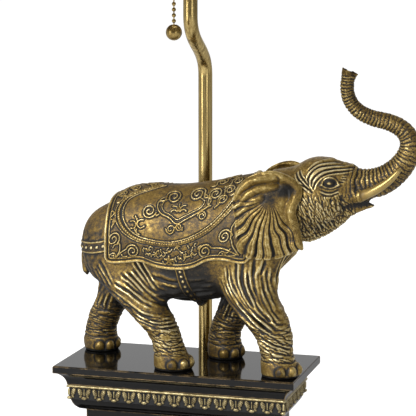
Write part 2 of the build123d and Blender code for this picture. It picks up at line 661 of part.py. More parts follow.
def shade_frame():
    """Top and bottom wire rings, three spokes and the washer that sits on the harp."""
    wire = 1.4
    top_z, low_z = SHADE_HIGH - 3.0, SHADE_LOW + 3.0
    top_radius = shade_radius(top_z) - SHADE_WALL - wire - 0.7
    low_radius = shade_radius(low_z) - SHADE_WALL - wire - 0.7
    hub_z = HARP_TOP + 1.0
    x, y = PIPE_HEAD
    frame = Pos(x, y, top_z) * Torus(top_radius, wire) + Pos(x, y, low_z) * Torus(low_radius, wire)
    hub = Pos(*PIPE_HEAD, hub_z) * Cylinder(11.5, 2.0)
    for k in range(3):
        heading = radians(90 + 120 * k)
        start = Vector(x + 10 * cos(heading), y + 10 * sin(heading), hub_z)
        stop = Vector(x + top_radius * cos(heading), y + top_radius * sin(heading), top_z)
        hub += swept(Wire([Edge.make_line(start, stop)]), wire)
    hub -= Pos(*PIPE_HEAD, hub_z) * Cylinder(STUD_RADIUS + 0.2, 10)
    hub &= block(2 * top_radius, 2 * top_radius, HARP_TOP, SHADE_HIGH, *PIPE_HEAD)
    return frame + hub


def finial():
    """The turned brass knob that holds the shade down."""
    z = HARP_TOP + 2.0
    b = STUD_RADIUS + 0.08
    outline = [(b, z), (8.0, z), (8.0, z + 2), (4.8, z + 4), (4.8, z + 7), (6.6, z + 9), (7.6, z + 13),
               (6.6, z + 17), (3.2, z + 20), (2.2, z + 23), (3.0, z + 25.5), (2.0, z + 28), (0, z + 28.6),
               (0, z + 15.5), (b, z + 15.5)]
    return turned(outline)


def main():
    near, far = elephant_halves()
    save("elephant_near_half", near)
    save("elephant_far_half", far)
    save("near_tusk", tusk(-1))
    save("far_tusk", tusk(1))
    save("body_screws", body_screws())
    save("plinth_casting", plinth())
    save("leaf_band", leaf_band())
    save("base_cover", base_cover())
    save("cover_screws", cover_screws())
    save("felt_pad", block(PLINTH_LENGTH - 7, PLINTH_DEPTH - 7, 0, FELT))
    save("foot_bolts", foot_bolts())
    save("foot_washers", foot_washers())
    save("lamp_pipe", lamp_pipe())
    x, y = PIPE_FOOT
    save("pipe_washer", washer(7.3, THREAD_RADIUS + CLEARANCE, SLAB_UNDER - 1.5, SLAB_UNDER, x, y))
    save("pipe_nut", hexagon(7.5, SLAB_UNDER - 6.5, SLAB_UNDER - 1.5, THREAD_RADIUS + CLEARANCE, x, y))
    save("cord", cord())
    save("cord_bushing", cord_bushing())
    save("plug_body", plug_body())
    save("plug_blades", plug_blades())
    save("check_ring", check_ring())
    save("harp_saddle", harp_saddle())
    save("socket_nut", hexagon(8.2, SADDLE_TOP, NUT_TOP, THREAD_RADIUS + CLEARANCE, *PIPE_HEAD))
    save("harp", harp())
    save("socket_cap", socket_cap())
    save("socket_shell", socket_shell())
    save("socket_liner", socket_liner())
    save("socket_body", socket_body())
    save("switch_rotor", switch_rotor())
    save("screw_shell", screw_shell())
    save("centre_contact", centre_contact())
    save("chain_guide", chain_guide())
    save("pull_chain", pull_chain())
    save("pull_ball", pull_ball())
    save("bulb_base", bulb_base())
    save("bulb_glass", bulb_glass())
    save("shade_frame", shade_frame())
    save("shade_fabric", cone_skin(SHADE_LOW, SHADE_HIGH, -SHADE_WALL, 0))
    trims = [cone_skin(SHADE_LOW, SHADE_LOW + 9, 0.05, 0.9), cone_skin(SHADE_HIGH - 7, SHADE_HIGH, 0.05, 0.9)]
    save("shade_trim", Compound(children=trims))
    save("finial", finial())
    print(len(written), "nodes")


if __name__ == "__main__":
    main()
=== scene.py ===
import math

import bmesh
import bpy
import numpy as np
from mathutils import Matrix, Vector


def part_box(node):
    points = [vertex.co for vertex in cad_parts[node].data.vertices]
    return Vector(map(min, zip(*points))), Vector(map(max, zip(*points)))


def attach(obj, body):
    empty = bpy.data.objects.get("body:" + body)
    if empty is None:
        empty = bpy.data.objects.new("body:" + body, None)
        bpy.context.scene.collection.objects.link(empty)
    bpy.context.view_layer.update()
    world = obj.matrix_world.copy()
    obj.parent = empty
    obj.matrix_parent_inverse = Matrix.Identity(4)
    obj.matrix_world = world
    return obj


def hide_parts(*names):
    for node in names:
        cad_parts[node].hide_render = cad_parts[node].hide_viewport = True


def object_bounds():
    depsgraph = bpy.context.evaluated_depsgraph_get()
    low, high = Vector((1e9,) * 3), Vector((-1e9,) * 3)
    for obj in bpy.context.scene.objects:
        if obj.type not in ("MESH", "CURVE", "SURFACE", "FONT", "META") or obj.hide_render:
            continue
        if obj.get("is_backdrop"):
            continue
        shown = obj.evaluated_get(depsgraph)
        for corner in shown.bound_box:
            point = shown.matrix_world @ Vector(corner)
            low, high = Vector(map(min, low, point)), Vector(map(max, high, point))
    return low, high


# The lamp's looks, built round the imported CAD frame. Sculpting is done in millimetres measured from the
# deck (the plinth's top face) and turned into metres in the frame when a mesh is made.
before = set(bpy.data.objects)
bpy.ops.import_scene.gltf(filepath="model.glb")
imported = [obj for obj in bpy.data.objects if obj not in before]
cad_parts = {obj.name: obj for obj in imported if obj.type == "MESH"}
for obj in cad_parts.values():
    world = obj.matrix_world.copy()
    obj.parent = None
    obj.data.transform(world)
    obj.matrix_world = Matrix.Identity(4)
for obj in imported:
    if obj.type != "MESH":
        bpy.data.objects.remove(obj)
CAD_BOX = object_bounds()

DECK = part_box("plinth_casting")[1].z * 1000.0
MID = -2.5            # y of the elephant's middle plane
VOXEL = 1.25          # sculpting grid, mm
CORNERS = [(x, y, z) for x in (0, 1) for y in (0, 1) for z in (0, 1)]


# ---- small maths ---------------------------------------------------------------------------------
def smoothstep(low, high, value):
    """0 below low, 1 above high, smooth between. low may be above high, which turns it round."""
    t = np.clip((np.asarray(value, float) - low) / (high - low), 0.0, 1.0)
    return t * t * (3.0 - 2.0 * t)


def bump(value, centre, width):
    """A bell of height 1."""
    return np.exp(-(((np.asarray(value, float) - centre) / width) ** 2))


def within(value, *ramps):
    """Product of smooth steps over the same value."""
    return math.prod(smoothstep(low, high, value) for low, high in ramps)


def dome(value, reach=1.0):
    """The height of a round bar of radius 1 at a distance from its middle, 0 beyond reach."""
    return np.sqrt(np.clip(1 - (value / reach) ** 2, 0, 1))


def spline(points, count):
    """A smooth curve through the points (cubic, over centripetal steps), sampled at count places."""
    p = np.asarray(points, float)
    step = np.sqrt(np.linalg.norm(np.diff(p[:, :2], axis=0), axis=1) + 1e-9)
    chord = np.concatenate([[0.0], np.cumsum(step)])
    t = np.linspace(0.0, chord[-1], count)
    i = np.clip(np.searchsorted(chord, t, side="right") - 1, 0, len(p) - 2)
    span = chord[i + 1] - chord[i]
    u = ((t - chord[i]) / span)[:, None]
    slope = np.gradient(p, chord, axis=0)
    ma, mb = slope[i] * span[:, None], slope[i + 1] * span[:, None]
    return ((2 * u**3 - 3 * u**2 + 1) * p[i] + (u**3 - 2 * u**2 + u) * ma
            + (-2 * u**3 + 3 * u**2) * p[i + 1] + (u**3 - u**2) * mb)


def table(stations, at):
    """Smoothly interpolates the other columns of a station table at values of its first column."""
    fine = spline(sorted(stations), 240)
    order = np.argsort(fine[:, 0])
    return [np.interp(at, fine[order, 0], fine[order, k]) for k in range(1, fine.shape[1])]


GRADIENTS = np.array([(x, y, z) for x in (-1, 0, 1) for y in (-1, 0, 1) for z in (-1, 0, 1)
                      if abs(x) + abs(y) + abs(z) == 2], float)


def corner_weight(share, corner):
    """Trilinear weight of one corner of a cell."""
    u, v, w = (share[:, k] if corner[k] else 1 - share[:, k] for k in range(3))
    return u * v * w


def noise(points, seed):
    """Smooth gradient noise between about -1 and 1 at (n, 3) points."""
    p = np.asarray(points, float)
    cell = np.floor(p)
    f = p - cell
    cell = cell.astype(np.int64)
    u = f * f * f * (f * (f * 6 - 15) + 10)
    total = np.zeros(len(p))
    for corner in CORNERS:
        x, y, z = (cell + corner).T
        h = x * 73856093 ^ y * 19349663 ^ z * 83492791
        h = (h ^ (seed * 2654435761)) & 0xFFFFFFFF
        h = ((h ^ (h >> 15)) * 2246822519) & 0xFFFFFFFF
        h = ((h ^ (h >> 13)) * 3266489917) & 0xFFFFFFFF
        h = (h ^ (h >> 16)) % 12
        total += corner_weight(u, corner) * (GRADIENTS[h] * (f - corner)).sum(1)
    return total


def lattice_noise(seed, *coords):
    """Gradient noise at a lattice of points, given as one array a coordinate."""
    return noise(np.stack(coords, -1).reshape(-1, 3), seed).reshape(coords[0].shape)


def crease(points, scale, width, seed):
    """Wandering grooves: 1 along the zero lines of stretched noise, 0 away from them. scale is mm a cell."""
    return bump(noise(points / np.asarray(scale, float), seed), 0.0, width)


def near_line(a, b, line):
    """From the points (a, b) to a polyline: distance, share of its length where nearest, signed offset."""
    line = np.asarray(line, float)
    best = np.full(len(a), 1e9)
    along = np.zeros(len(a))
    side = np.zeros(len(a))
    run = 0.0
    for (ax, az), (bx, bz) in zip(line[:-1, :2], line[1:, :2]):
        dx, dz = bx - ax, bz - az
        length = math.hypot(dx, dz) + 1e-9
        t = np.clip(((a - ax) * dx + (b - az) * dz) / length**2, 0.0, 1.0)
        off_x, off_z = a - ax - t * dx, b - az - t * dz
        d = np.hypot(off_x, off_z)
        hit = d < best
        best[hit] = d[hit]
        along[hit] = (run + t * length)[hit]
        side[hit] = ((dx * off_z - dz * off_x) / length)[hit]
        run += length
    return best, along / run, side


def close_to(a, b, line, reach):
    """Which of the points (a, b) fall in the line's box, grown by reach."""
    low, high = np.min(line, 0)[:2] - reach, np.max(line, 0)[:2] + reach
    return np.flatnonzero((a > low[0]) & (a < high[0]) & (b > low[1]) & (b < high[1]))


def length_of(line):
    """Length of a polyline."""
    return np.linalg.norm(np.diff(line, axis=0), axis=1).sum()


def line_gap(x, z, points, count=40):
    """Distance of points from a smooth line through a few places."""
    return near_line(x.ravel(), z.ravel(), spline(points, count))[0].reshape(x.shape)


def neighbour_mean(values, edges, degree):
    """Mean of each vertex's neighbours."""
    out = np.empty_like(values)
    for k in range(values.shape[1]):
        column = values[:, k]
        out[:, k] = (np.bincount(edges[:, 0], column[edges[:, 1]], len(values))
                     + np.bincount(edges[:, 1], column[edges[:, 0]], len(values)))
    return out / degree[:, None]


# ---- mesh helpers --------------------------------------------------------------------------------
def linked(name, data):
    """A scene object for a mesh, light or camera."""
    obj = bpy.data.objects.new(name, data)
    bpy.context.scene.collection.objects.link(obj)
    return obj


def shade_smooth(mesh):
    """Smooth shading on every face."""
    mesh.polygons.foreach_set("use_smooth", [True] * len(mesh.polygons))


def new_mesh(name, verts_mm, faces):
    """A smooth mesh object from points in mm above the deck."""
    mesh = bpy.data.meshes.new(name)
    verts = np.asarray(verts_mm, float).copy()
    verts[:, 2] += DECK
    verts *= 0.001
    mesh.from_pydata(verts.tolist(), [], [tuple(int(i) for i in f) for f in faces])
    shade_smooth(mesh)
    mesh.update()
    return linked(name, mesh)


def subdivide(obj):
    """Replaces the object's mesh with its subdivision surface."""
    modifier = obj.modifiers.new("subdivision", "SUBSURF")
    modifier.levels = modifier.render_levels = 1
    modifier.boundary_smooth = "PRESERVE_CORNERS"
    baked = bpy.data.meshes.new_from_object(obj.evaluated_get(bpy.context.evaluated_depsgraph_get()))
    obj.modifiers.clear()
    obj.data = baked
    shade_smooth(baked)


def read(obj):
    """Vertex places in mm above the deck, vertex normals and edges."""
    mesh = obj.data
    co = np.zeros(len(mesh.vertices) * 3)
    mesh.vertices.foreach_get("co", co)
    co = co.reshape(-1, 3) * 1000.0
    co[:, 2] -= DECK
    normals = np.zeros(len(mesh.vertices) * 3)
    mesh.vertex_normals.foreach_get("vector", normals)
    edges = np.zeros(len(mesh.edges) * 2, np.int32)
    mesh.edges.foreach_get("vertices", edges)
    return co, normals.reshape(-1, 3), edges.reshape(-1, 2)


def write(obj, co):
    """Puts moved vertices back."""
    out = np.asarray(co, float).copy()
    out[:, 2] += DECK
    obj.data.vertices.foreach_set("co", (out * 0.001).ravel())
    obj.data.update()


def set_attribute(obj, name, values):
    """Stores one number a vertex for the materials."""
    layer = obj.data.attributes.new(name, "FLOAT", "POINT")
    layer.data.foreach_set("value", np.asarray(values, np.float32))


def attribute(obj, name):
    """Reads one number a vertex back."""
    values = np.zeros(len(obj.data.vertices))
    obj.data.attributes[name].data.foreach_get("value", values)
    return values


def relief_mask(obj, scales, shade):
    """Writes the mask the gold materials read: 1 on proud ridges, 0 in recesses, from the height over
    smoother copies of the mesh, less the shade given, which on the animal, its ears and tusks is painted
    shade.
    """
    co, normals, edges = read(obj)
    degree = np.maximum(np.bincount(edges.ravel(), minlength=len(co)), 1).astype(float)
    smooth = co.copy()
    total = np.full(len(co), 0.52)
    done = 0
    for passes, gain in scales:
        for _ in range(passes - done):
            smooth = neighbour_mean(smooth, edges, degree) * 0.6 + smooth * 0.4
        done = passes
        proud = ((co - smooth) * normals).sum(1)
        total += gain * np.where(proud < 0, 1.35, 0.7) * proud
    set_attribute(obj, "patina_and_painted_shade", np.clip(total - shade, 0.0, 1.0))


def weld(obj):
    """Welds the points that fall on one another, and turns all faces outwards."""
    work = bmesh.new()
    work.from_mesh(obj.data)
    bmesh.ops.remove_doubles(work, verts=work.verts, dist=2e-6)
    bmesh.ops.recalc_face_normals(work, faces=work.faces)
    work.to_mesh(obj.data)
    work.free()
    shade_smooth(obj.data)


def grid_faces(rows, columns, wrap=False, start=0):
    """Quads over a rows x columns lattice of points, wrapping along the columns when asked."""
    last = columns if wrap else columns - 1
    return [(start + r * columns + c, start + r * columns + (c + 1) % columns,
             start + (r + 1) * columns + (c + 1) % columns, start + (r + 1) * columns + c)
            for r in range(rows - 1) for c in range(last)]


def two_layers(name, outer, inner, faces, rim, turned=True):
    """A closed sheet from two layers of the same lattice and the loops of points along its free edges."""
    n = outer.size // 3
    back = [tuple(i + n for i in (face[::-1] if turned else face)) for face in faces]
    side = [(p, q, q + n, p + n) for loop in rim for p, q in zip(loop, loop[1:] + loop[:1])]
    return new_mesh(name, np.concatenate([outer.reshape(-1, 3), inner.reshape(-1, 3)]), faces + back + side)


def tube(name, centres, radii, sides):
    """A round bar along 3-D centres with a radius at each."""
    c = np.asarray(centres, float)
    tangent = np.gradient(c, axis=0)
    tangent /= np.linalg.norm(tangent, axis=1)[:, None] + 1e-12
    side = np.array([0.0, 1.0, 0.0]) if abs(tangent[0][1]) < 0.9 else np.array([1.0, 0.0, 0.0])
    verts = []
    for place, way, r in zip(c, tangent, radii):
        side = side - way * (side @ way)
        side /= np.linalg.norm(side)
        other = np.cross(way, side)
        for k in range(sides):
            t = 2 * math.pi * k / sides
            verts.append(place + r * (side * math.cos(t) + other * math.sin(t)))
    last, top = len(c) * sides, (len(c) - 1) * sides
    faces = grid_faces(len(c), sides, wrap=True)
    faces += [(last, (k + 1) % sides, k) for k in range(sides)]
    faces += [(last + 1, top + k, top + (k + 1) % sides) for k in range(sides)]
    return new_mesh(name, verts + [c[0], c[-1]], faces)


# ---- the elephant as a distance field -----------------------------------------------------------
# Torso and head stations: x, centre height, half height, half width.
TORSO = [
    (-84, 88, 5, 5), (-82.2, 88, 12, 11), (-77, 88, 22, 20.5), (-65, 90.5, 31.5, 28.5),
    (-48, 95.5, 40.5, 32.5), (-25, 97, 43, 33), (0, 95, 45.5, 33), (25, 98.5, 46, 33), (48, 105, 44.5, 32),
    (68, 112.5, 40.5, 28), (88, 121, 30, 21),
]
HEAD = [
    (72, 129.5, 23, 20), (84, 131, 26.5, 24.5), (98, 135, 27.5, 25), (112, 139.5, 25, 22.5),
    (124, 144.5, 18.5, 17), (133, 146.5, 13.5, 13.5),
]
TRUNK = [
    (118, 145.8, 15.7), (128, 145.6, 13.8), (137, 145.8, 12.8), (146, 147.2, 11.8), (156, 151, 10.9),
    (165, 157.8, 10), (171.8, 166.8, 9), (174.8, 176.5, 8), (172.5, 185, 7.3), (165.5, 191.2, 6.9),
    (156.8, 194.6, 6.6), (147.2, 196.6, 6.3), (138, 200.2, 6), (131.4, 205.6, 5.7), (127.2, 212.8, 5.5),
    (126.2, 221, 5.4), (127, 228.6, 5.3),
]
JAW = [
    (100, 121, 12), (110, 121.5, 11.5), (122, 124.5, 8), (133, 128.6, 5), (141, 130.4, 3.2),
    (147, 130.9, 2),
]
TAIL = [
    (-78, 97, 3.2), (-83.6, 90, 2.9), (-85.6, 82, 2.6), (-85, 76, 3), (-84, 70, 3.4), (-83.2, 66.5, 1.6),
]
# The corners of the mouth and the lip round each tusk's root: points, radii, softness, and whether it cuts.
MOUTH = [
    ([(128, 12.5, 128.8), (137, 10, 133.6), (144, 8, 135.5)], [0.9, 1.5, 2.2], 1.2, True),
    ([(130, 9.5, 137), (139, 12, 139), (146, 12.5, 142)], [4.4, 5.0, 4.0], 3.0, False),
]
# Legs: the side, then stations of height, x, half length and half width. Hind legs come first.
LEGS = [
    (-1, [(92, -50, 24, 13), (72, -44, 26, 16), (58, -35.5, 21.5, 15.5), (46, -25.5, 17.8, 15),
          (34, -15.5, 15, 14), (22, -9, 12.5, 12.5), (12, -6, 13.5, 13.5), (4, -4, 15.2, 14.5),
          (0, -4, 15.2, 14.5)]),
    (1, [(92, -58, 22, 13), (72, -60, 22, 15), (56, -63, 18, 14.5), (44, -69, 14.5, 14), (32, -75.5, 14, 13),
         (20, -80, 13, 12.5), (8, -81, 14.2, 13.5), (0, -80, 14, 13.5)]),
    (-1, [(96, 54, 22, 12), (78, 54, 24, 15), (62, 57, 21.5, 16), (50, 64, 20, 15.5), (40, 71, 18, 14.5),
          (30, 76.5, 15, 13.5), (20, 78.5, 13.2, 12.5), (10, 80.5, 14, 13.5), (3, 82, 15, 14.5),
          (0, 82, 15, 14.5)]),
    (1, [(96, 52, 20, 12), (76, 49, 20, 15), (60, 43, 17, 14.5), (46, 36.5, 15, 14), (32, 29.5, 14.3, 13),
         (20, 24.5, 13.2, 12.5), (8, 24.5, 14.2, 13.5), (0, 25, 14.2, 13.5)]),
]
LEG_SPREAD = 24.0
NAIL_ANGLES = (-78, -38, 2, 42, 80)

LOW = np.array([-99.0, -46.0, -3.0])
HIGH = np.array([187.0, 41.0, 240.0])
SHAPE = np.ceil((HIGH - LOW) / VOXEL).astype(int) + 1
AXES = [LOW[k] + VOXEL * np.arange(SHAPE[k]) for k in range(3)]


def ellipse_distance(offsets, radii):
    """Nearly true distance from an ellipse or ellipsoid."""
    far = np.sqrt(sum((o / r) ** 2 for o, r in zip(offsets, radii)) + 1e-9)
    slope = np.sqrt(sum((o / r**2) ** 2 for o, r in zip(offsets, radii)) + 1e-9)
    return far * (far - 1.0) / slope


class Field:
    """Signed distance on a grid, in mm. Shapes are merged into it with a soft join."""

    def __init__(self):
        self.values = np.full(tuple(SHAPE), 60.0, np.float32)

    def window(self, low, high):
        """Slices and coordinates of the grid between two corners."""
        first = np.clip(np.floor((np.asarray(low) - LOW) / VOXEL).astype(int), 0, SHAPE - 1)
        last = np.clip(np.ceil((np.asarray(high) - LOW) / VOXEL).astype(int) + 1, 1, SHAPE)
        part = tuple(slice(a, b) for a, b in zip(first, last))
        x, y, z = (AXES[k][part[k]] for k in range(3))
        return part, x[:, None, None], y[None, :, None], z[None, None, :]

    def merge(self, part, other, soft, cutting=False):
        """Soft union with a block of distances, or its soft subtraction."""
        mine = self.values[part]
        if cutting:
            other = -other
        h = np.maximum(soft - np.abs(mine - other), 0.0) / soft
        blend = h * h * soft * 0.25
        self.values[part] = np.maximum(mine, other) + blend if cutting else np.minimum(mine, other) - blend

    def along_x(self, stations, soft):
        """A barrel given by ellipses square to X."""
        part, x, y, z = self.window((stations[0][0] - 2, *LOW[1:]), (stations[-1][0] + 2, *HIGH[1:]))
        zc, high, wide = (v[:, None, None] for v in table(stations, x.ravel()))
        d = ellipse_distance((z - zc, y - MID), (high, wide))
        d = np.maximum(d, np.maximum(stations[0][0] - x, x - stations[-1][0]))
        self.merge(part, d, soft)

    def leg(self, side, stations, soft):
        """A limb given by level ellipses."""
        xs = [s[1] for s in stations]
        part, x, y, z = self.window((min(xs) - 45, *LOW[1:]), (max(xs) + 45, HIGH[1], stations[0][0] + 14))
        xc, half_x, half_y = (v[None, None, :] for v in table(stations, z.ravel()))
        middle = MID + side * (LEG_SPREAD - 0.16 * np.maximum(z - 40.0, 0.0))
        d = ellipse_distance((x - xc, y - middle), (half_x, half_y))
        d = np.maximum(d, np.maximum(-z, z - stations[0][0]))
        self.merge(part, d, soft)

    def rod(self, points, radii, soft, cutting=False):
        """A chain of tapering capsules. Points are (x, z) in the middle plane, or (x, y, z)."""
        points = [np.array(p if len(p) == 3 else (p[0], MID, p[1]), float) for p in points]
        chain = Field()
        for a, b, ra, rb in zip(points[:-1], points[1:], radii[:-1], radii[1:]):
            reach = max(ra, rb) + 12.0
            part, *place = self.window(np.minimum(a, b) - reach, np.maximum(a, b) + reach)
            way = b - a
            t = np.clip(sum((p - q) * w for p, q, w in zip(place, a, way)) / (way @ way), 0.0, 1.0)
            off = sum((p - q - t * w) ** 2 for p, q, w in zip(place, a, way))
            d = np.sqrt(off) - (ra + t * (rb - ra))
            if cutting:
                self.merge(part, d, soft, True)
            else:
                chain.values[part] = np.minimum(chain.values[part], d)
        if not cutting:
            self.merge((slice(None),) * 3, chain.values, soft)

    def blob(self, centre, radii, soft, both=False, cutting=False):
        """An ellipsoid; when both is asked for, a pair of them this far either side of the middle plane."""
        radii = np.array(radii, float)
        for side in ((-1, 1) if both else (0,)):
            place = np.array([centre[0], MID + side * centre[1] if both else centre[1], centre[2]], float)
            part, *grid = self.window(place - radii - 10, place + radii + 10)
            self.merge(part, ellipse_distance([g - p for g, p in zip(grid, place)], radii), soft, cutting)

    def sample(self, places):
        """Distance at (n, 3) points, by linear interpolation."""
        q = np.clip((places - LOW) / VOXEL, 0.001, SHAPE - 1.001)
        cell = q.astype(int)
        return sum(corner_weight(q - cell, corner) * self.values[tuple((cell + corner).T)]
                   for corner in CORNERS)


def toe(side, stations, angle, inset, z):
    """The middle of one toe, this far in from the foot's outline."""
    x, half_x, half_y = stations[-1][1:]
    t = math.radians(-side * angle)
    y = MID + side * LEG_SPREAD
    return np.array([x + (half_x - inset) * math.cos(t), y + (half_y - inset) * math.sin(t), z])


def plan(stations):
    """Places and radii of a chain given as (x, height, radius)."""
    return [(x, z) for x, z, _ in stations], [r for _, _, r in stations]


def elephant_field():
    """The whole animal before its wrinkles: barrel, head, trunk, jaw, legs, muscles, eyes and toenails."""
    field = Field()
    field.along_x(TORSO, 1.0)
    field.blob((58, 20, 106), (25, 12.5, 30), 10, both=True)         # shoulders
    field.blob((-56, 16, 98), (24, 15, 27), 10, both=True)           # hips
    for side, stations in LEGS:
        field.leg(side, stations, 8.0)
    field.along_x(HEAD, 12.0)
    field.blob((105, 6.5, 153.5), (14, 12, 11), 8, both=True)        # twin domes of the skull
    field.blob((110, 13, 131), (14, 10.5, 13), 7, both=True)         # cheeks
    field.rod(*plan(spline(TRUNK, 46)), 6.0)
    field.rod(*plan(JAW), 5.0)
    field.rod([(150, MID - 5, 134.6), (150, MID + 5, 134.6)], [2.6, 2.6], 1.5, cutting=True)
    field.rod([(152, 134.8), (140, 134.2), (131, 131.8)], [2.4, 1.5, 0.8], 1.2, cutting=True)
    for side in (-1, 1):
        for points, radii, soft, cutting in MOUTH:
            field.rod([(x, MID + side * y, z) for x, y, z in points], radii, soft, cutting)
    field.rod(*plan(TAIL), 2.5)
    field.blob((117.5, 23.5, 149.2), (7.2, 4.6, 5.2), 3.0, both=True, cutting=True)   # eye sockets
    field.blob((117.5, 17.6, 149.0), (4.2, 3.9, 3.6), 1.0, both=True)                 # eyes
    field.blob((-14, 20, 66), (22, 10, 11), 8, both=True)            # flank above the near thigh
    field.rod([(84, 112), (97, 110), (108, 113.5), (118, 118.5)], [9.0, 9.5, 8.0, 6.0], 6.0)     # throat
    field.rod([(124.0, 229.6), (122.8, 234.8)], [2.4, 1.1], 1.5)     # two lips and hollow of the trunk's tip
    field.rod([(130.8, 227.6), (133.6, 229.6)], [2.4, 1.3], 1.5)
    field.rod([(128.4, 233.6), (127.9, 227.6)], [2.2, 1.6], 1.0, cutting=True)
    for side, stations in LEGS:
        for angle in NAIL_ANGLES:
            field.blob(toe(side, stations, angle, 1.6, 5.6), (4.0, 4.0, 4.6), 1.6)
    field.blob((12.0, MID, 49.6), (3.6, 3.6, 4.2), 1.0)              # knob under the girth
    return field


def surface_net(field):
    """Quads through the field's zero surface."""
    f = field.values
    inside = f < 0
    count = np.zeros(tuple(SHAPE - 1), np.int8)
    for corner in CORNERS:
        count += inside[tuple(slice(c, n - 1 + c) for c, n in zip(corner, f.shape))]
    cells = np.argwhere((count > 0) & (count < 8))
    index = np.full(tuple(SHAPE - 1), -1, np.int64)
    index[tuple(cells.T)] = np.arange(len(cells))
    total = np.zeros((len(cells), 3))
    hits = np.zeros(len(cells))
    for a in CORNERS:
        for axis in range(3):
            if a[axis]:
                continue
            b = tuple(1 if k == axis else a[k] for k in range(3))
            fa, fb = (f[tuple((cells + end).T)].astype(float) for end in (a, b))
            cross = (fa < 0) != (fb < 0)
            place = cells + np.array(a, float)
            place[:, axis] += np.where(cross, fa / np.where(cross, fa - fb, 1.0), 0.0)
            total += place * cross[:, None]
            hits += cross
    verts = LOW + total / hits[:, None] * VOXEL
    faces = []
    for axis in range(3):
        u, v = np.eye(3, dtype=int)[[(axis + 1) % 3, (axis + 2) % 3]]
        edge = np.argwhere(inside != np.roll(inside, -1, axis))
        keep = (edge > 0) | (np.arange(3) == axis)
        edge = edge[keep.all(1) & (edge < np.array(f.shape) - 1).all(1)]
        quad = np.stack([index[tuple((edge - back).T)] for back in (0 * u, u, u + v, v)], 1)
        flip = ~inside[tuple(edge.T)]
        quad[flip] = quad[flip][:, ::-1]
        faces.append(quad)
    return verts, np.concatenate(faces)


# ---- wrinkles and folds of the hide --------------------------------------------------------------
# Fans of strokes drawn on the flanks, in (x, height): the zone they hold in, the first and the last line, how
# many, the random seed, jitter, width, depth, height of the lips, and 1 where width and depth vary.
FLANK_FANS = [
    ("front", [(31, 88), (34, 74), (41, 60), (53, 48), (69, 37), (80, 29)],
     [(80, 92), (76, 78), (77, 68), (81, 57), (88, 46), (94, 38)], 17, 11, 0.9, 0.85, 1.25, 0.5, 1),
    ("knee", [(60, 44), (70, 38), (82, 30), (92, 24)],
     [(66, 24), (74, 21), (84, 18), (95, 18)], 7, 12, 0.4, 0.75, 0.9, 0.5, 0),
    ("back", [(30, 80), (24, 60), (14, 44), (10, 30)],
     [(66, 80), (56, 62), (44, 44), (38, 28)], 11, 13, 0.6, 0.95, 1.2, 0.5, 0),
    ("thigh", [(-28, 90), (-24, 80), (-17, 68), (-7, 57)],
     [(-50, 66), (-38, 60), (-24, 52), (-5, 46)], 7, 14, 0.4, 0.95, 1.3, 0.5, 0),
    ("heel", [(-54, 62), (-40, 54), (-24, 45), (-3, 42)],
     [(-30, 38), (-20, 34), (-8, 32), (8, 33)], 8, 15, 0.5, 0.85, 1.1, 0.5, 0),
    ("hip", [(-60, 84), (-54, 74), (-48, 64)], [(-74, 78), (-66, 66), (-58, 56)], 5, 16, 0.5, 1, 0.7, 0.5, 0),
    ("far_thigh", [(-34, 86), (-40, 74), (-52, 60), (-64, 46), (-68, 30)],
     [(-76, 82), (-78, 70), (-82, 58), (-88, 44), (-92, 28)], 10, 20, 0.7, 1.1, 1, 0.5, 0),
    ("barrel", [(-22, 79), (-8, 72), (12, 70), (34, 72)],
     [(-18, 56), (-4, 53), (14, 53), (34, 60)], 8, 18, 0.9, 1.2, 0.9, 0.6, 0),
    ("rump", [(-58, 110), (-70, 104), (-80, 92), (-84, 76)],
     [(-56, 98), (-62, 88), (-68, 76), (-70, 62)], 5, 19, 0.9, 1.6, 0.5, 0.3, 0),
    ("cheek", [(96, 137), (100, 122), (104, 108), (108, 100)],
     [(126, 139), (126, 131), (128, 124), (130, 119)], 13, 17, 0.8, 0.75, 0.7, 0.5, 0),
]
# The same drawn across the body, in (distance from the middle plane, height), on the sides given; the side
# is added to the seed.
CROSS_FANS = [
    ("shin", (1,), [(5, 84), (12, 60), (14, 36)], [(36, 84), (34, 60), (33, 36)], 7, 39, 1, 1, 0.9, 0.5),
    ("tail_end", (-1, 1), [(3, 122), (4, 104), (3, 86), (5, 66)],
     [(24, 112), (29, 98), (27, 84), (22, 62)], 5, 36, 1.2, 1.5, 0.6, 0.3),
    ("throat", (-1, 1), [(1, 114), (2, 90), (4, 66)],
     [(20, 112), (20, 88), (26, 64)], 7, 28, 0.6, 1, 0.9, 0.5),
]
BROW_RIDGES = [
    [(105.5, 143.5), (107.5, 149.5), (112.5, 154.6), (119, 156.6), (127, 157.4), (134.5, 158.6)],
    [(104.6, 144.6), (105, 151.4), (110.5, 157.2), (118.5, 159.2), (127, 159.6), (135, 160)],
    [(103.6, 146), (101.6, 152), (107, 159.6), (117, 161.8), (128, 161.4)],
    [(101, 157.4), (107.5, 162.6), (117, 164), (126, 162.6)],
    [(105, 143), (100.4, 148.8), (96, 153.2), (93.6, 157.6)],
    [(103, 143.6), (98, 148), (93.4, 151.6), (91.2, 155.6)],
    [(106, 141.6), (101, 145.4), (95, 147.4)],
]
EYE = (117.6, 149.0)
UPPER_LID = [(111.6, 147.6), (114, 151.4), (117.6, 152.9), (121.4, 151), (124.2, 147.8)]
LOWER_LID = [(111.6, 147.4), (115, 145.9), (119, 145.5), (124.2, 147.6)]
GIRTH = [(3.4, 82), (4.6, 74), (6.6, 66), (9.4, 58), (12, 50)]
CRUPPER = [(-52, 96.5), (-60, 94.5), (-68, 93), (-78, 92.5), (-90, 92.5)]


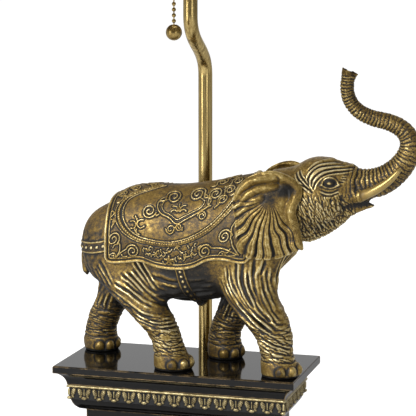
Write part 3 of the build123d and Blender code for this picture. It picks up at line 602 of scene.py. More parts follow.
def carve(total, a, b, mask, line, width, depth, lip=0.5, taper=0.12):
    """Adds one carved stroke with raised lips to total where mask holds. The stroke fades at both ends."""
    pick = close_to(a, b, line, 5 * width)
    pick = pick[mask[pick] > 0.01]
    d, along, _ = near_line(a[pick], b[pick], line)
    fade = smoothstep(0.0, taper, along) * smoothstep(1.0, 1.0 - taper, along)
    groove = depth * (lip * bump(d, 2.1 * width, 0.95 * width) - bump(d, 0.0, width))
    total[pick] += groove * mask[pick] * (0.15 + 0.85 * fade)


def fan(first, last, count, seed, jitter):
    """Strokes spread evenly between two guide lines, each a little different."""
    rng = np.random.RandomState(seed)
    a, b = spline(first, 16), spline(last, 16)
    for k in range(count):
        share = (k + 0.5 + rng.uniform(-0.25, 0.25)) / count
        wobble = np.cumsum(rng.normal(0, jitter * 0.35, a.shape), axis=0)
        start, stop = rng.uniform(0.0, 0.22), rng.uniform(0.8, 1.0)
        yield (a + (b - a) * share + wobble - wobble.mean(0))[int(start * 16):max(int(stop * 16), 4)]


def draw_fans(total, co, zones):
    """Carves every fan of strokes in its own zone."""
    x, y, z = co.T
    for zone, first, last, count, seed, jitter, width, depth, lip, vary in FLANK_FANS:
        for k, line in enumerate(fan(first, last, count, seed, jitter)):
            wide, deep = width + 0.25 * vary * (k % 3), depth + 0.3 * vary * (k % 2)
            carve(total, x, z, zones[zone], line, wide, deep, lip)
    for zone, sides, first, last, count, seed, jitter, width, depth, lip in CROSS_FANS:
        for side in sides:
            guides = [[(MID + side * u, v) for u, v in line] for line in (first, last)]
            for line in fan(*guides, count, seed + side, jitter):
                carve(total, y, z, zones[zone], line, width, depth, lip)


def draw_eye(total, x, z, face):
    """Lids round the ball, a groove round it, bags below and crow's feet. Returns painted shade over the ball
    and its groove, less a painted highlight at its middle.
    """
    for lid, high, width in ((UPPER_LID, 1.1, 0.95), (LOWER_LID, 0.85, 0.8)):
        total += face * high * bump(line_gap(x, z, lid, 18), 0, width)
    ball = np.hypot((x - EYE[0]) * 0.85, (z - EYE[1]) * 1.35)
    total -= face * 0.6 * bump(ball, 3.9, 0.8)
    for drop in (2.1, 4.6):
        bag = [(111.0, 146.4 - drop), (115.0, 144.6 - drop), (119.5, 144.2 - drop), (124.5, 146.2 - drop)]
        carve(total, x, z, face, spline(bag, 14), 0.6, 0.6, 0.3)
    for k in range(4):
        corner = [(124.6 + 0.8 * k, 149.8 + 1.6 * k), (127.8 + 0.8 * k, 149.6 + 1.9 * k)]
        carve(total, x, z, face, np.array(corner), 0.5, 0.5)
    return face * (0.48 * smoothstep(4.6, 3.6, ball) - 0.80 * bump(ball, 0.0, 1.3))


def trunk_rings(co, along, off, above):
    """Depth of the rings round the trunk, crowded at the root and deeper on the inside of the curve."""
    pitch = 3.9 - 1.1 * np.clip(along / 170.0, 0, 1)
    wander = 0.35 * noise(co / 6.0, 31) + 0.12 * np.sin(3.0 * np.arctan2(co[:, 1] - MID, above))
    phase = along / pitch + wander
    inside = smoothstep(-0.5, 0.9, above / np.maximum(off, 1.0))
    strength = 0.42 + 0.55 * inside + 0.25 * smoothstep(50.0, 20.0, along)
    strength *= 0.55 + 0.45 * smoothstep(-0.3, 0.4, noise(co / 5.0, 32))
    return strength * bump(phase - np.round(phase), 0, 0.17) + 0.25 * crease(co, 1.9, 0.12, 33)


def hide_relief(co, normals):
    """How far the hide stands proud at each vertex, in mm, and the painted shade to lay over it, with a
    painted highlight in each eye.
    """
    x, y, z = co.T
    total = np.zeros(len(co))
    out = np.abs(y - MID)
    near = smoothstep(0.0, -3.0, y - MID)
    far = 1.0 - near
    ahead, sideways, upward = normals.T
    flank = smoothstep(0.15, 0.5, np.abs(sideways))
    patchy = 0.45 + 0.55 * smoothstep(-0.35, 0.25, noise(co / 8.0, 6))
    middle = spline(TRUNK, 90)
    off, along, above = near_line(x, z, middle)
    off, along = np.hypot(off, y - MID), along * length_of(middle[:, :2])
    on_trunk = smoothstep(20.0, 15.0, off) * smoothstep(8.0, 20.0, along)
    low = within(z, (52, 30), (9, 14))
    barrel = smoothstep(40.0, 52.0, z) * smoothstep(92.0, 84.0, x) * (1 - low)
    rump = smoothstep(-52.0, -60.0, x) * smoothstep(50.0, 60.0, z)
    cheek = within(x, (88, 95), (139, 130)) * within(z, (143, 137), (90, 100)) * (1 - 0.8 * on_trunk)
    front = near * patchy * smoothstep(28.0, 36.0, x) * smoothstep(20.0, 30.0, z)
    front *= 1 - smoothstep(84.0, 96.0, x) * (1 - on_trunk)
    draw_fans(total, co, {
        "front": front,
        "knee": front + near * smoothstep(34.0, 26.0, z) * smoothstep(50, 60, x),
        "back": far * within(x, (12, 20), (66, 60)) * smoothstep(86.0, 74.0, z),
        "shin": far * smoothstep(0.4, 0.7, ahead) * within(z, (86, 78), (34, 42)) * smoothstep(20, 30, x),
        "thigh": near * patchy * smoothstep(30.0, 22.0, x) * smoothstep(30.0, 40.0, z),
        "heel": near * patchy * smoothstep(20.0, 12.0, x),
        "hip": near * flank * smoothstep(90.0, 84.0, z),
        "far_thigh": far * flank * within(z, (88, 82), (26, 34)) * smoothstep(-20, -30, x),
        "barrel": barrel * flank,
        "rump": rump * flank,
        "tail_end": smoothstep(-0.3, -0.6, ahead) * smoothstep(-56.0, -62.0, x),
        "cheek": cheek * patchy * flank,
        "throat": within(x, (66, 76), (118, 106)) * smoothstep(0.2, 0.5, ahead - 0.5 * upward),
    })

    # Lower legs: short level creases that crowd towards the ankle.
    soft = noise(co / 14.0, 3)
    bent = co.copy()
    bent[:, 2] += 0.198 * (x - 20.0 * np.round((x - 5) / 80.0))
    total -= 0.75 * low * crease(bent + 2.0 * soft[:, None], (17.0, 17.0, 3.4), 0.11, 21)
    total -= 0.45 * low * crease(bent, (10.0, 10.0, 2.0), 0.13, 22)
    ankle = bump(z, 12.5, 1.0) + 0.8 * bump(z, 16.0, 0.9)
    total -= 0.55 * ankle * (0.4 + 0.6 * smoothstep(-0.4, 0.4, noise(co / 9.0, 5)))

    # Neck and cheek: crowded upright creases that lean forward towards the jaw.
    lean = co.copy()
    lean[:, 0] += 0.32 * (z - 120.0) + 1.8 * soft
    total -= 0.65 * cheek * crease(lean, (2.7, 7.0, 8.0), 0.15, 26)
    total -= 0.45 * cheek * crease(lean, (1.8, 5.0, 4.8), 0.15, 27)

    # Brow: parallel ridges that sweep from behind the eye up over it to the root of the trunk.
    brow = within(x, (88, 92), (140, 134)) * smoothstep(0.3, 1.5, out)
    for line in BROW_RIDGES:
        carve(total, x, z, brow, spline(line, 18), 0.62, 1.1, 0.45, 0.08)
    dim = draw_eye(total, x, z, smoothstep(12.0, 15.0, out))
    total -= on_trunk * trunk_rings(co, along, off, above)

    # The sole line, and the clefts between the toenails.
    total -= 0.5 * bump(z, 1.2, 0.7)
    for side, stations in LEGS:
        for angle in NAIL_ANGLES:
            nail = np.linalg.norm((co - toe(side, stations, angle, 1.0, 4.8)) * (1.0, 1.0, 0.9), axis=1)
            total -= 0.5 * bump(nail, 4.7, 0.8) * smoothstep(1.5, 3.0, z)

    # Painted shade: darker on the trunk and the rump, which turn from the light, on the barrel under the
    # cloth, and on the inner faces of the far legs.
    dim += 0.10 * (on_trunk + rump) + 0.17 * barrel * flank * smoothstep(58.0, 50.0, np.abs(x - 6.0) + 34.0)
    dim += 0.14 * far * smoothstep(60.0, 50.0, z) * smoothstep(0.1, -0.5, sideways)

    # Girth strap down to the knob under the belly, and the crupper band round the rump: a raised ribbon with
    # a rail along each edge and a row of studs.
    around_rump = 30.0 * np.arctan2(out, -(x + 55.0))
    girth_zone = smoothstep(84.0, 81.0, z) * (np.abs(sideways) > 0.12)
    crupper_zone = smoothstep(-48.0, -52.0, x)
    for line, half, spacing, zone in ((GIRTH, 3.5, 4.1, girth_zone), (CRUPPER, 4.2, 5.0, crupper_zone)):
        smooth = spline(line, 24)
        d, share, _ = near_line(x, z, smooth)
        ribbon = smoothstep(half + 0.6, half, d) * zone
        step = (share * length_of(smooth) if line is GIRTH else around_rump) / spacing
        stud = dome(np.hypot(d, (step - np.round(step)) * spacing), 1.25)
        total = total * (1 - ribbon) + ribbon * (0.6 + 0.4 * bump(d, half - 0.4, 0.55) + 0.85 * stud)
        # Over the ribbon the painted shade is set to a flat amount, turned negative on each stud so the studs
        # come out lighter.
        dim = dim * (1 - ribbon) + 0.14 * ribbon * (1 - 1.6 * stud)

    # A fine pebbled skin over everything.
    polished = np.maximum(smoothstep(10.0, 7.0, z), 0.6 * np.maximum(rump, barrel))
    total += (noise(co / 1.15, 41) * 0.08 + noise(co / 2.6, 42) * 0.13) * (1 - 0.7 * polished)
    return total, dim


def build_elephant():
    """The sculpted animal as one piece, and the field it came from."""
    field = elephant_field()
    verts, faces = surface_net(field)
    verts[:, 2] = np.maximum(verts[:, 2], 0.0)
    body = new_mesh("elephant_body", verts, faces)
    co, _, edges = read(body)
    degree = np.bincount(edges.ravel(), minlength=len(co)).astype(float)
    free = co[:, 2] >= 0.3
    for _ in range(2):
        smooth = neighbour_mean(co, edges, degree)
        co[free] = 0.5 * co[free] + 0.5 * smooth[free]
    write(body, co)
    subdivide(body)
    co, normals, _ = read(body)
    relief, dim = hide_relief(co, normals)
    co += normals * (relief * smoothstep(0.4, 1.6, co[:, 2]))[:, None]
    co[:, 2] = np.maximum(co[:, 2], 0.02)
    write(body, co)
    # Painted shade: darker where the body is hemmed in by itself, on faces turned down, and at the soles
    # where they meet the deck. dim brings the hide's painted shade and the eyes' painted highlight.
    hemmed = sum(np.maximum(d - field.sample(co + normals * d), 0.0) / d for d in (3.0, 7.0, 14.0)) / 3.0
    under = smoothstep(0.1, -0.8, normals[:, 2]) * within(co[:, 2], (20, 50), (95, 60))
    sole = smoothstep(2.6, 1.0, co[:, 2])
    shade = 0.45 * smoothstep(0.12, 0.6, hemmed) + 0.35 * under + dim + 0.5 * sole
    relief_mask(body, ((2, 0.85), (8, 0.6), (30, 0.25)), shade)
    return body, field


# ---- ears ----------------------------------------------------------------------------------------
EAR_HUB = (80.0, 141.0)
FOLD_HUB = (75.0, 137.5)
EAR_RIM = [
    (98, 147), (91, 153.5), (78, 158.6), (66, 156.8), (55, 150.5), (49.5, 142), (47.6, 133), (49.6, 122),
    (50.4, 110), (52, 98), (60, 92.4), (69, 91.6), (78.5, 91.8), (87, 94.5), (94, 97.6), (98.4, 99),
    (98.2, 107), (95.6, 118), (94, 129), (98, 139),
]
EAR_ROWS, EAR_COLUMNS = 84, 360
EAR_ROOT, EAR_THICK = 26.5, 1.5                       # distance from the middle plane, half thickness
EAR_SWING = 18.0                                      # degrees the rear edge stands out
EAR_HOLLOW = (86.5, 143.2)
# Deep folds: the direction each runs from the fold hub (degrees, -90 is down), depth and width in degrees.
EAR_FOLDS = [
    (-172, 0.7, 4), (-160, 1.1, 3.6), (-148, 1, 3.4), (-136, 1.5, 3), (-125, 2.1, 2.8), (-115.5, 1.3, 2.2),
    (-106, 2.3, 2.5), (-97, 1.1, 2), (-88, 2.1, 2.3), (-79, 1.2, 2), (-70, 2.2, 2.4), (-60, 1.5, 2.4),
]
FRONT_ROLL = [
    (66, 153), (78, 155.5), (87, 152.4), (94.4, 146), (93.6, 138), (90.6, 128), (92.4, 117), (95.6, 107),
    (96.6, 101),
]
FRONT_GROOVE = [(79, 149), (86, 146.6), (88.6, 139), (85.6, 129), (87, 117), (90.6, 106)]
TOP_ROLLS = [
    ([(49, 137), (55, 146), (65, 151.5), (78, 152)], 1.5),
    ([(50, 131), (58, 139.5), (68, 144.6), (78, 146.4)], 1.1),
    ([(52, 126), (60, 133), (68, 138)], 0.8),
]


def ear_piece(name, side):
    """A fan of gathered skin: broad pleats parted by narrow folds, and a rolled front and top edge."""
    rim = spline(EAR_RIM + [EAR_RIM[0]], EAR_COLUMNS + 1)[:-1]
    share = np.linspace(0.0, 1.0, EAR_ROWS)[:, None] ** 0.8
    x, z = (hub + share * (edge - hub) for hub, edge in zip(EAR_HUB, rim.T))
    fx, fz = x - FOLD_HUB[0], z - FOLD_HUB[1]
    reach = np.hypot(fx, fz)
    angle = np.degrees(np.arctan2(fz, fx))
    turn = np.where(angle > 60, angle - 360, angle)
    wander = lattice_noise(51, x / 15, z / 15, 0 * x + 3.1)
    bent = turn + 6.0 * wander
    grow = smoothstep(4.0, 14.0, reach) * (0.55 + 0.45 * smoothstep(10.0, 40.0, reach))
    out, fold = np.zeros(x.shape), np.zeros(x.shape)
    for way, depth, width in EAR_FOLDS:
        tail = np.where(bent > way, np.exp(-(bent - way).clip(0) / (1.9 * width)), 0)
        out -= 0.72 * depth * grow * (bump(bent, way, 0.55 * width) + 0.45 * tail)
        out += 0.22 * depth * grow * bump(bent, way - 1.6 * width, 0.9 * width)
        fold = np.maximum(fold, bump(bent, way, 0.62 * width) * depth / 2.3)
    lower = smoothstep(-185, -165, turn) * smoothstep(-25, -50, turn) * grow
    out += lower * 0.16 * np.cos(2 * math.pi * bent / 2.9 + 3.0 * wander)
    sag = 1.0 + lower * smoothstep(0.80, 1.0, share) * (0.02 - 0.045 * fold)
    x, z = FOLD_HUB[0] + fx * sag, FOLD_HUB[1] + fz * sag
    hollow = np.hypot((x - EAR_HOLLOW[0]) / 1.5, z - EAR_HOLLOW[1])
    out += 2.9 * bump(line_gap(x, z, FRONT_ROLL), 0, 3.4) - 1.5 * bump(line_gap(x, z, FRONT_GROOVE), 0, 2.2)
    out -= 1.8 * bump(hollow, 0, 4.2)
    for line, high in TOP_ROLLS:
        gap = line_gap(x, z, line)
        out += high * (bump(gap, 0, 2.3) - 0.7 * bump(gap, 3.6, 1.3))
    out += 0.35 * smoothstep(0.93, 0.985, share) * smoothstep(1.01, 0.985, share)
    fine = np.stack([x / 1.4, z / 1.4, out / 2])
    out += 0.16 * lattice_noise(52, *fine) + 0.22 * lattice_noise(53, *(0.33 * fine))
    if side > 0:
        x = x - 9.0 * smoothstep(78.0, 96.0, x) * smoothstep(134.0, 108.0, z)
    swing = (94.0 - x) * math.tan(math.radians(EAR_SWING))
    out += EAR_ROOT + swing - 3.0 * smoothstep(60.0, 48.0, x) - 2.0 * smoothstep(106.0, 92.0, z)
    thick = EAR_THICK * (1 - 0.75 * smoothstep(0.9, 1.0, share))
    layers = [np.stack([x, MID + side * (out + layer * thick), z], -1) for layer in (1, -1)]
    order = np.arange(x.size).reshape(x.shape)
    ear = two_layers(name, *layers, grid_faces(*x.shape, wrap=True), [[*order[-1]]])
    # Painted shade in the folds, in the hollow where the ear meets the head and at the hub, a touch lighter
    # on the flats between folds.
    shade = 0.42 * fold * grow + 0.45 * bump(hollow, 0, 4.6) - 0.05 * smoothstep(1.0, 0.6, fold)
    shade += 0.30 * bump(reach, 0.0, 6.0)
    set_attribute(ear, "shade", np.tile(shade.ravel(), 2))
    weld(ear)
    relief_mask(ear, ((3, 0.45), (12, 0.30), (45, 0.12)), attribute(ear, "shade"))
    return ear


# ---- tusks ---------------------------------------------------------------------------------------
# Tusk stations: x, height, distance from the middle plane, radius.
TUSK = [
    (134, 138.2, 9.5, 3.4), (141, 139.8, 13, 3.6), (149, 143.2, 15.6, 3.5), (157, 148, 16, 3.1),
    (163.5, 153.4, 15, 2.6), (168, 158.6, 13.6, 1.9), (170, 161.4, 12.8, 0.9),
]
TUSK_STEPS, TUSK_SIDES = 60, 32


def tusk_piece(name, side):
    """A smooth curved taper with a rounded point and a shallow collar where it leaves the lip."""
    line = spline(TUSK, TUSK_STEPS)
    step = np.arange(TUSK_STEPS)
    collar = 1 + 0.10 * bump(step, 13, 2.5)
    radii = line[:, 3] * collar * np.sqrt(np.clip((TUSK_STEPS - step) / 5.0, 0.05, 1.0))
    tusk = tube(name, [(x, MID + side * y, z) for x, z, y, _ in line], radii, TUSK_SIDES)
    # Painted shade: the tusk is darker towards its root in the lip.
    root = smoothstep(148.0, 138.0, read(tusk)[0][:, 0])
    relief_mask(tusk, ((2, 0.6),), 0.35 * root)
    return tusk


# ---- saddle cloth --------------------------------------------------------------------------------
CLOTH_BACK, CLOTH_FRONT = -56.5, 60.0
CLOTH_HEM = [
    (-58, 84), (-50, 82), (-40, 82.6), (-27, 84), (-13, 80.2), (3, 79.4), (14, 81.5), (27, 87.5),
    (40, 88.4), (52, 86.6), (62, 88),
]
CLOTH_COLUMNS, CLOTH_ROWS = 233, 330
CLOTH_WRAP = 140                                      # degrees from upright it is laid out to, each way
CLOTH_LIFT, CLOTH_UNDER = 1.5, 2.4                    # of its two faces, over and under the hide
CLOTH_CORNER = 5.0
# The ornament, in mm along the cloth and down from the ridge of the back.
MEDALLION = [
    (50.5, 29.5), (42.5, 38.5), (31.5, 47), (18.5, 53.5), (2.5, 57.2), (-14, 57.6), (-29, 54.6),
    (-38.8, 48.4), (-44.8, 39.5), (-46.2, 30), (-43.2, 22), (-35, 16), (-24, 11), (-8, 2), (12, 1), (34, 8),
    (47, 17),
]
OPEN_FROM, OPEN_TO = 0.70, 0.97                       # the part of the outline that fades out over the back
MEDALLION_CENTRE = np.array([1.0, 34.0])
MEDALLION_POINTS = 120
# Its lines: size, half width, height, whether roped.
MEDALLION_RINGS = [(1.0, 1.05, 0.9, True), (0.93, 0.5, 0.5, False), (1.055, 0.45, 0.5, False)]
HEART = [
    (-9.5, 20), (-14.5, 24), (-15.5, 30), (-12, 34.8), (-5, 37.8), (1.5, 42.5), (8, 40), (16, 36.6),
    (24.5, 32.5), (27, 26.5), (21.5, 21),
]
# Scrolls: x, drop, radius, turns, start angle, hand, stem.
SCROLLS = [
    (-4, 20.4, 5.2, 1.8, 200, 1, [(-14, 25), (-10.5, 24)]),
    (15, 19.6, 5.4, 1.8, -20, -1, [(26, 24), (21.5, 24)]),
    (-21.5, 33.4, 4.8, 1.7, 10, 1, [(-13.5, 35.5), (-15.5, 37)]),
    (-3, 46.2, 3, 1.4, 180, -1, [(1.5, 43.5), (-3, 50)]),
    (3.6, 45, 1.9, 1.3, 0, 1, [(1.5, 43.5), (6.5, 47.5)]),
    (21.4, 38.6, 2.6, 1.5, 190, 1, [(27.5, 31.5), (18.6, 35)]),
    (30, 22, 4.4, 1.6, 200, 1, [(25, 30), (25.2, 25)]),
    (36.8, 28.6, 3.2, 1.5, 190, 1, [(31, 34), (33, 31)]),
    (41, 20.4, 3.4, 1.5, 190, 1, [(37, 27), (37.4, 23.4)]),
    (-48.4, 53, 4.3, 1.6, 60, -1, [(-50, 71.5), (-43.5, 63), (-43.8, 57)]),
    (-33.4, 63.8, 4.4, 1.7, 200, 1, [(-50, 72), (-43.5, 65)]),
    (-49.6, 66.2, 2.2, 1.3, 20, -1, [(-51, 72.5), (-46.5, 69.5)]),
    (24.8, 65.6, 4.5, 1.8, -20, -1, [(50, 73.5), (38.5, 66), (31, 64)]),
    (40.6, 57.6, 4.6, 1.8, 30, -1, [(51.5, 74), (47, 66), (46, 61)]),
    (38, 70.8, 2, 1.2, 10, -1, [(49, 74), (42.5, 73)]),
    (-38, 10, 3.4, 1.5, 190, 1, [(-28, 14), (-33, 14)]),
    (-47, 15, 3.2, 1.5, 190, 1, [(-38, 19), (-42, 19)]),
    (-24, 6, 3.2, 1.5, 190, 1, [(-14, 8), (-19, 10)]),
    (-52, 33, 2.6, 1.3, 90, 1, [(-50, 44), (-50, 38)]),
    (33, 9.5, 3.6, 1.5, 190, 1, [(25, 14), (28, 13.5)]),
    (45, 11.5, 3.4, 1.5, 190, 1, [(36, 17), (40, 16)]),
    (52, 19.5, 3, 1.5, 190, 1, [(46, 26), (48, 23)]),
    (41, 3.4, 2.6, 1.4, 190, 1, [(33, 4), (37, 6.5)]),
]
# Leaves: root, angle, length, bend.
LEAVES_ON_CLOTH = [
    (2, 32.6, -90, 6, 0), (1, 32.2, -140, 5.6, 0.3), (3, 32.2, -40, 5.6, -0.3), (0.8, 33, 178, 5, 0.3),
    (3.2, 33, 2, 5, -0.3), (-31, 44, -150, 5.5, 0.3), (-31, 44, -100, 7, 0.2), (-31, 44, 150, 4.5, -0.3),
    (-31, 44, 80, 6, 0.2), (-30, 44, -40, 6, -0.3), (-30, 44, 10, 6, 0.3), (-30, 47, 60, 5, 0.3),
    (31, 33.5, -60, 6, 0.3), (43, 27, -62, 6, 0.3), (47.5, 31, -70, 6, 0.3), (-45, 58, 160, 4, 0.3),
    (-42, 66, 20, 4.5, 0.3), (45, 68, 160, 5, -0.3), (47, 58, -80, 9, -0.2), (-50.5, 43, -80, 6, 0.25),
    (-49, 24, -60, 7, 0.3), (-50, 10, -30, 6, 0.3), (-44, 6, -10, 6, 0.3), (-32, 3, 0, 6, 0.3),
    (49, 48, -80, 10, 0.15),
]
FOLIAGE = [(-170, 170), (2.2, 3.8), (-0.5, 0.5)]      # ranges of angle, length and bend of the tangled leaves


def leaf(x, s, angle, length, bend):
    """One curled leaf's midrib."""
    a = math.radians(angle)
    t = np.linspace(0, 1, 7) * length
    side = bend * length * np.sin(math.pi * t / length)
    return np.stack([x + t * math.cos(a) - side * math.sin(a), s + t * math.sin(a) + side * math.cos(a)], 1)


def scroll(x, s, radius, turns, start, hand, stem):
    """A spiral that winds in from the end of a stem."""
    t = np.linspace(0, 1, 34)
    a = math.radians(start) + hand * t * turns * 2 * math.pi
    r = radius * (1 - t) ** 0.8 + 0.9
    wound = np.stack([x + r * np.cos(a), s + r * np.sin(a)], 1)
    return np.concatenate([spline([*stem, wound[0]], 14)[:-1], wound])


def medallion(grow):
    """The medallion's closed smooth outline, scaled about its centre."""
    corners = MEDALLION_CENTRE + grow * (np.array(MEDALLION) - MEDALLION_CENTRE)
    return spline([*corners, corners[0]], MEDALLION_POINTS)


def ornament():
    """Every raised line on the cloth: its points, half width, height and whether it is roped."""
    first, last = int(OPEN_FROM * MEDALLION_POINTS), int(OPEN_TO * MEDALLION_POINTS)
    for grow, half, high, rope in MEDALLION_RINGS:
        ring = medallion(grow)
        yield np.concatenate([ring[last:], ring[:first]]), half, high, rope
    inner = [(1.5 + (x - 1.5) * 0.8, 29.0 + (s - 29.0) * 0.76) for x, s in HEART]
    yield spline(HEART, 60), 0.6, 0.75, False
    yield spline(inner, 60), 0.38, 0.45, False
    for row in SCROLLS:
        yield scroll(*row), *((0.62, 0.85) if row[2] > 4 else (0.52, 0.7)), False
    for row in LEAVES_ON_CLOTH:
        yield leaf(*row), 0.6, 0.7, False
    rng = np.random.RandomState(7)
    for k in range(46):                               # tangled foliage under the medallion
        x = -24.0 + 0.98 * k
        s = 61.0 + rng.uniform(0.0, 11.0 - 0.012 * (x + 2) ** 2)
        yield leaf(x, s, *(rng.uniform(*span) for span in FOLIAGE)), 0.45, 0.6, False
    for k in range(5):                                # a small flower in the middle of the hem
        yield leaf(-4.0, 70.0, 72 * k - 90, 3.4, 0.0), 0.85, 0.9, False


def inside_ring(a, b, ring):
    """1 inside a closed outline, 0 outside."""
    odd = np.zeros(len(a), bool)
    for (ax, az), (bx, bz) in zip(ring[:-1], ring[1:]):
        if az != bz:
            odd ^= ((az > b) != (bz > b)) & (a < (bx - ax) * (b - az) / (bz - az) + ax)
    return odd.astype(float)


def cloth_relief(x, drop, edge):
    """Height of the ornament at points this far along, down and in from the edge, and how dark they are."""
    raised, cut = np.zeros(len(x)), np.zeros(len(x))
    for line, half, high, rope in ornament():
        pick = close_to(x, drop, line, 3.0)
        d, along, _ = near_line(x[pick], drop[pick], line)
        if rope:
            high = high * (0.75 + 0.25 * np.cos(along * 2 * math.pi * 84 + d * 2.0))
        raised[pick] = np.maximum(raised[pick], high * dome(d, half))
        cut[pick] = np.maximum(cut[pick], bump(d, half + 0.35, 0.42))
    inside = inside_ring(x, drop, medallion(0.935))
    cut = np.maximum(cut, np.maximum(bump(edge, 3.3, 0.45), 0.7 * bump(edge, 5.3, 0.4)))
    hem = np.maximum(1.35 * dome(edge - 1.5, 1.45), 0.5 * dome(edge - 4.4, 0.55))
    raised = np.where(edge < 5.0, hem, raised)
    flat = raised < 0.12
    ground = (1 - inside) * (edge > 5.2)
    stipple = lattice_noise(61, x / 0.9, drop / 0.9, 0 * x)
    height = raised - 0.55 * cut * flat + ground * (0.10 * stipple - 0.05) + inside * 0.25
    return height, flat * (0.42 * cut + 0.04 * ground)


def skin_reach(field, xs, centre, turn):
    """How far the body's skin lies from its centre line, by place along X and angle from upright."""
    x, middle, way = np.repeat(xs, len(turn)), np.repeat(centre, len(turn)), np.tile(turn, len(xs))
    last, found = np.full(len(x), 60.0), np.full(len(x), 20.0)
    done = np.zeros(len(x), bool)
    for r in np.arange(64.0, 16.0, -0.75):
        d = field.sample(np.stack([x, MID + np.sin(way) * r, middle + np.cos(way) * r], 1))
        hit = (d < 0) & ~done
        found[hit] = r - 0.75 * d[hit] / np.maximum(last[hit] - d[hit], 1e-6)
        done |= hit
        last = d
    found = found.reshape(len(xs), len(turn))
    for _ in range(10):
        found[1:-1] = 0.25 * (found[:-2] + found[2:]) + 0.5 * found[1:-1]
        found[:, 1:-1] = 0.25 * (found[:, :-2] + found[:, 2:]) + 0.5 * found[:, 1:-1]
    return found


def cloth_piece(field):
    """The cloth as one closed sheet over both sides of the back, laid on the sculpted body."""
    xs = np.linspace(CLOTH_BACK, CLOTH_FRONT, CLOTH_COLUMNS)
    turn = np.radians(np.arange(-CLOTH_WRAP, CLOTH_WRAP + 1))
    centre = table(TORSO, xs)[0]
    reach = skin_reach(field, xs, centre, turn)
    hem_z = np.interp(xs, *spline(CLOTH_HEM, 200).T)
    verts = np.zeros((CLOTH_COLUMNS, CLOTH_ROWS, 3))
    drop = np.zeros(verts.shape[:2])
    middle = len(turn) // 2
    for c in range(CLOTH_COLUMNS):
        y, z = MID + np.sin(turn) * reach[c], centre[c] + np.cos(turn) * reach[c]
        run = np.concatenate([[0.0], np.cumsum(np.hypot(np.diff(y), np.diff(z)))])
        run -= run[middle]
        near_hem = np.interp(hem_z[c], z[:middle + 1], run[:middle + 1])
        far_hem = np.interp(-hem_z[c], -z[middle:], run[middle:])
        drop[c] = np.linspace(near_hem, far_hem, CLOTH_ROWS)
        verts[c, :, 0] = xs[c]
        verts[c, :, 1] = np.interp(drop[c], run, y)
        verts[c, :, 2] = np.interp(drop[c], run, z)
    normal = np.cross(np.gradient(verts, axis=1), np.gradient(verts, axis=0))
    normal /= np.linalg.norm(normal, axis=2)[..., None] + 1e-9
    outward = verts - np.stack([xs, np.full(len(xs), MID), centre], 1)[:, None]
    normal *= np.sign((normal * outward).sum(2))[..., None]
    to_hem = np.minimum(drop - drop[:, :1], drop[:, -1:] - drop)
    to_end = np.minimum(verts[..., 0] - CLOTH_BACK, CLOTH_FRONT - verts[..., 0])
    a, b = np.maximum(CLOTH_CORNER - to_hem, 0), np.maximum(CLOTH_CORNER - to_end, 0)
    edge = np.where((a > 0) & (b > 0), CLOTH_CORNER - np.hypot(a, b), np.minimum(to_hem, to_end))
    height, dark = cloth_relief(verts[..., 0].ravel(), np.abs(drop).ravel(), edge.ravel())
    lap = smoothstep(-0.3, 0.9, edge)
    rise = (CLOTH_LIFT + height.reshape(edge.shape)) * lap - 1.6 * (1 - lap)
    order = np.arange(drop.size).reshape(drop.shape)
    rim = [*order[0], *order[1:, -1], *order[-1, -2::-1], *order[-2:0:-1, 0]]
    cloth = two_layers("saddle_cloth", verts + normal * rise[..., None], verts - normal * CLOTH_UNDER,
                       grid_faces(*drop.shape), [rim])
    weld(cloth)
    relief_mask(cloth, ((2, 0.5), (6, 0.35), (24, 0.15)), np.append(dark, 0 * dark) + 0.05)
    return cloth


# ---- leaf band round the cornice -----------------------------------------------------------------
PLINTH_HALF = (97.0, 46.5)
BAND_TOP, BAND_HIGH = -16.3, 12.2
BAND_GROUND, BAND_BACK = 10.3, 11.4                   # insets from the plinth's outline
LEAVES = (14, 6)                                      # along the front and along an end
LEAF_PITCH = 12.6
BAND_STEP = 0.32


def oval(a, b, centre, radii, turn=0.0):
    """A raised half egg of height 1 on the (across, down) plane."""
    c, s = math.cos(math.radians(turn)), math.sin(math.radians(turn))
    u, v = a - centre[0], b - centre[1]
    return dome(np.hypot((u * c + v * s) / radii[0], (v * c - u * s) / radii[1]))


def leaf_relief(a, b):
    """One acanthus leaf of the strip, b mm below the bead: two curled lobes, a midrib and a turned-up tip."""
    side = np.abs(a)
    lobe = 1.75 * oval(side, b, (LEAF_PITCH * 0.27, 2.7), (1.9, 3.6), 24.0)
    lobe += np.where(lobe > 0.5, 0.28 * np.cos(2 * math.pi * (b + 0.7 * side) / 1.45), 0.0)
    tip = 1.7 * oval(a, b, (0.0, 7.7), (2.5, 1.5))
    rib = 1.15 * bump(a, 0, 0.62) * within(b, (6.4, 5.2), (-0.2, 0.8))
    curl = 1.25 * oval(side, b, (2.9, 6.3), (1.1, 1.7), -32.0)
    return np.maximum(np.maximum(lobe, tip), np.maximum(rib, curl))


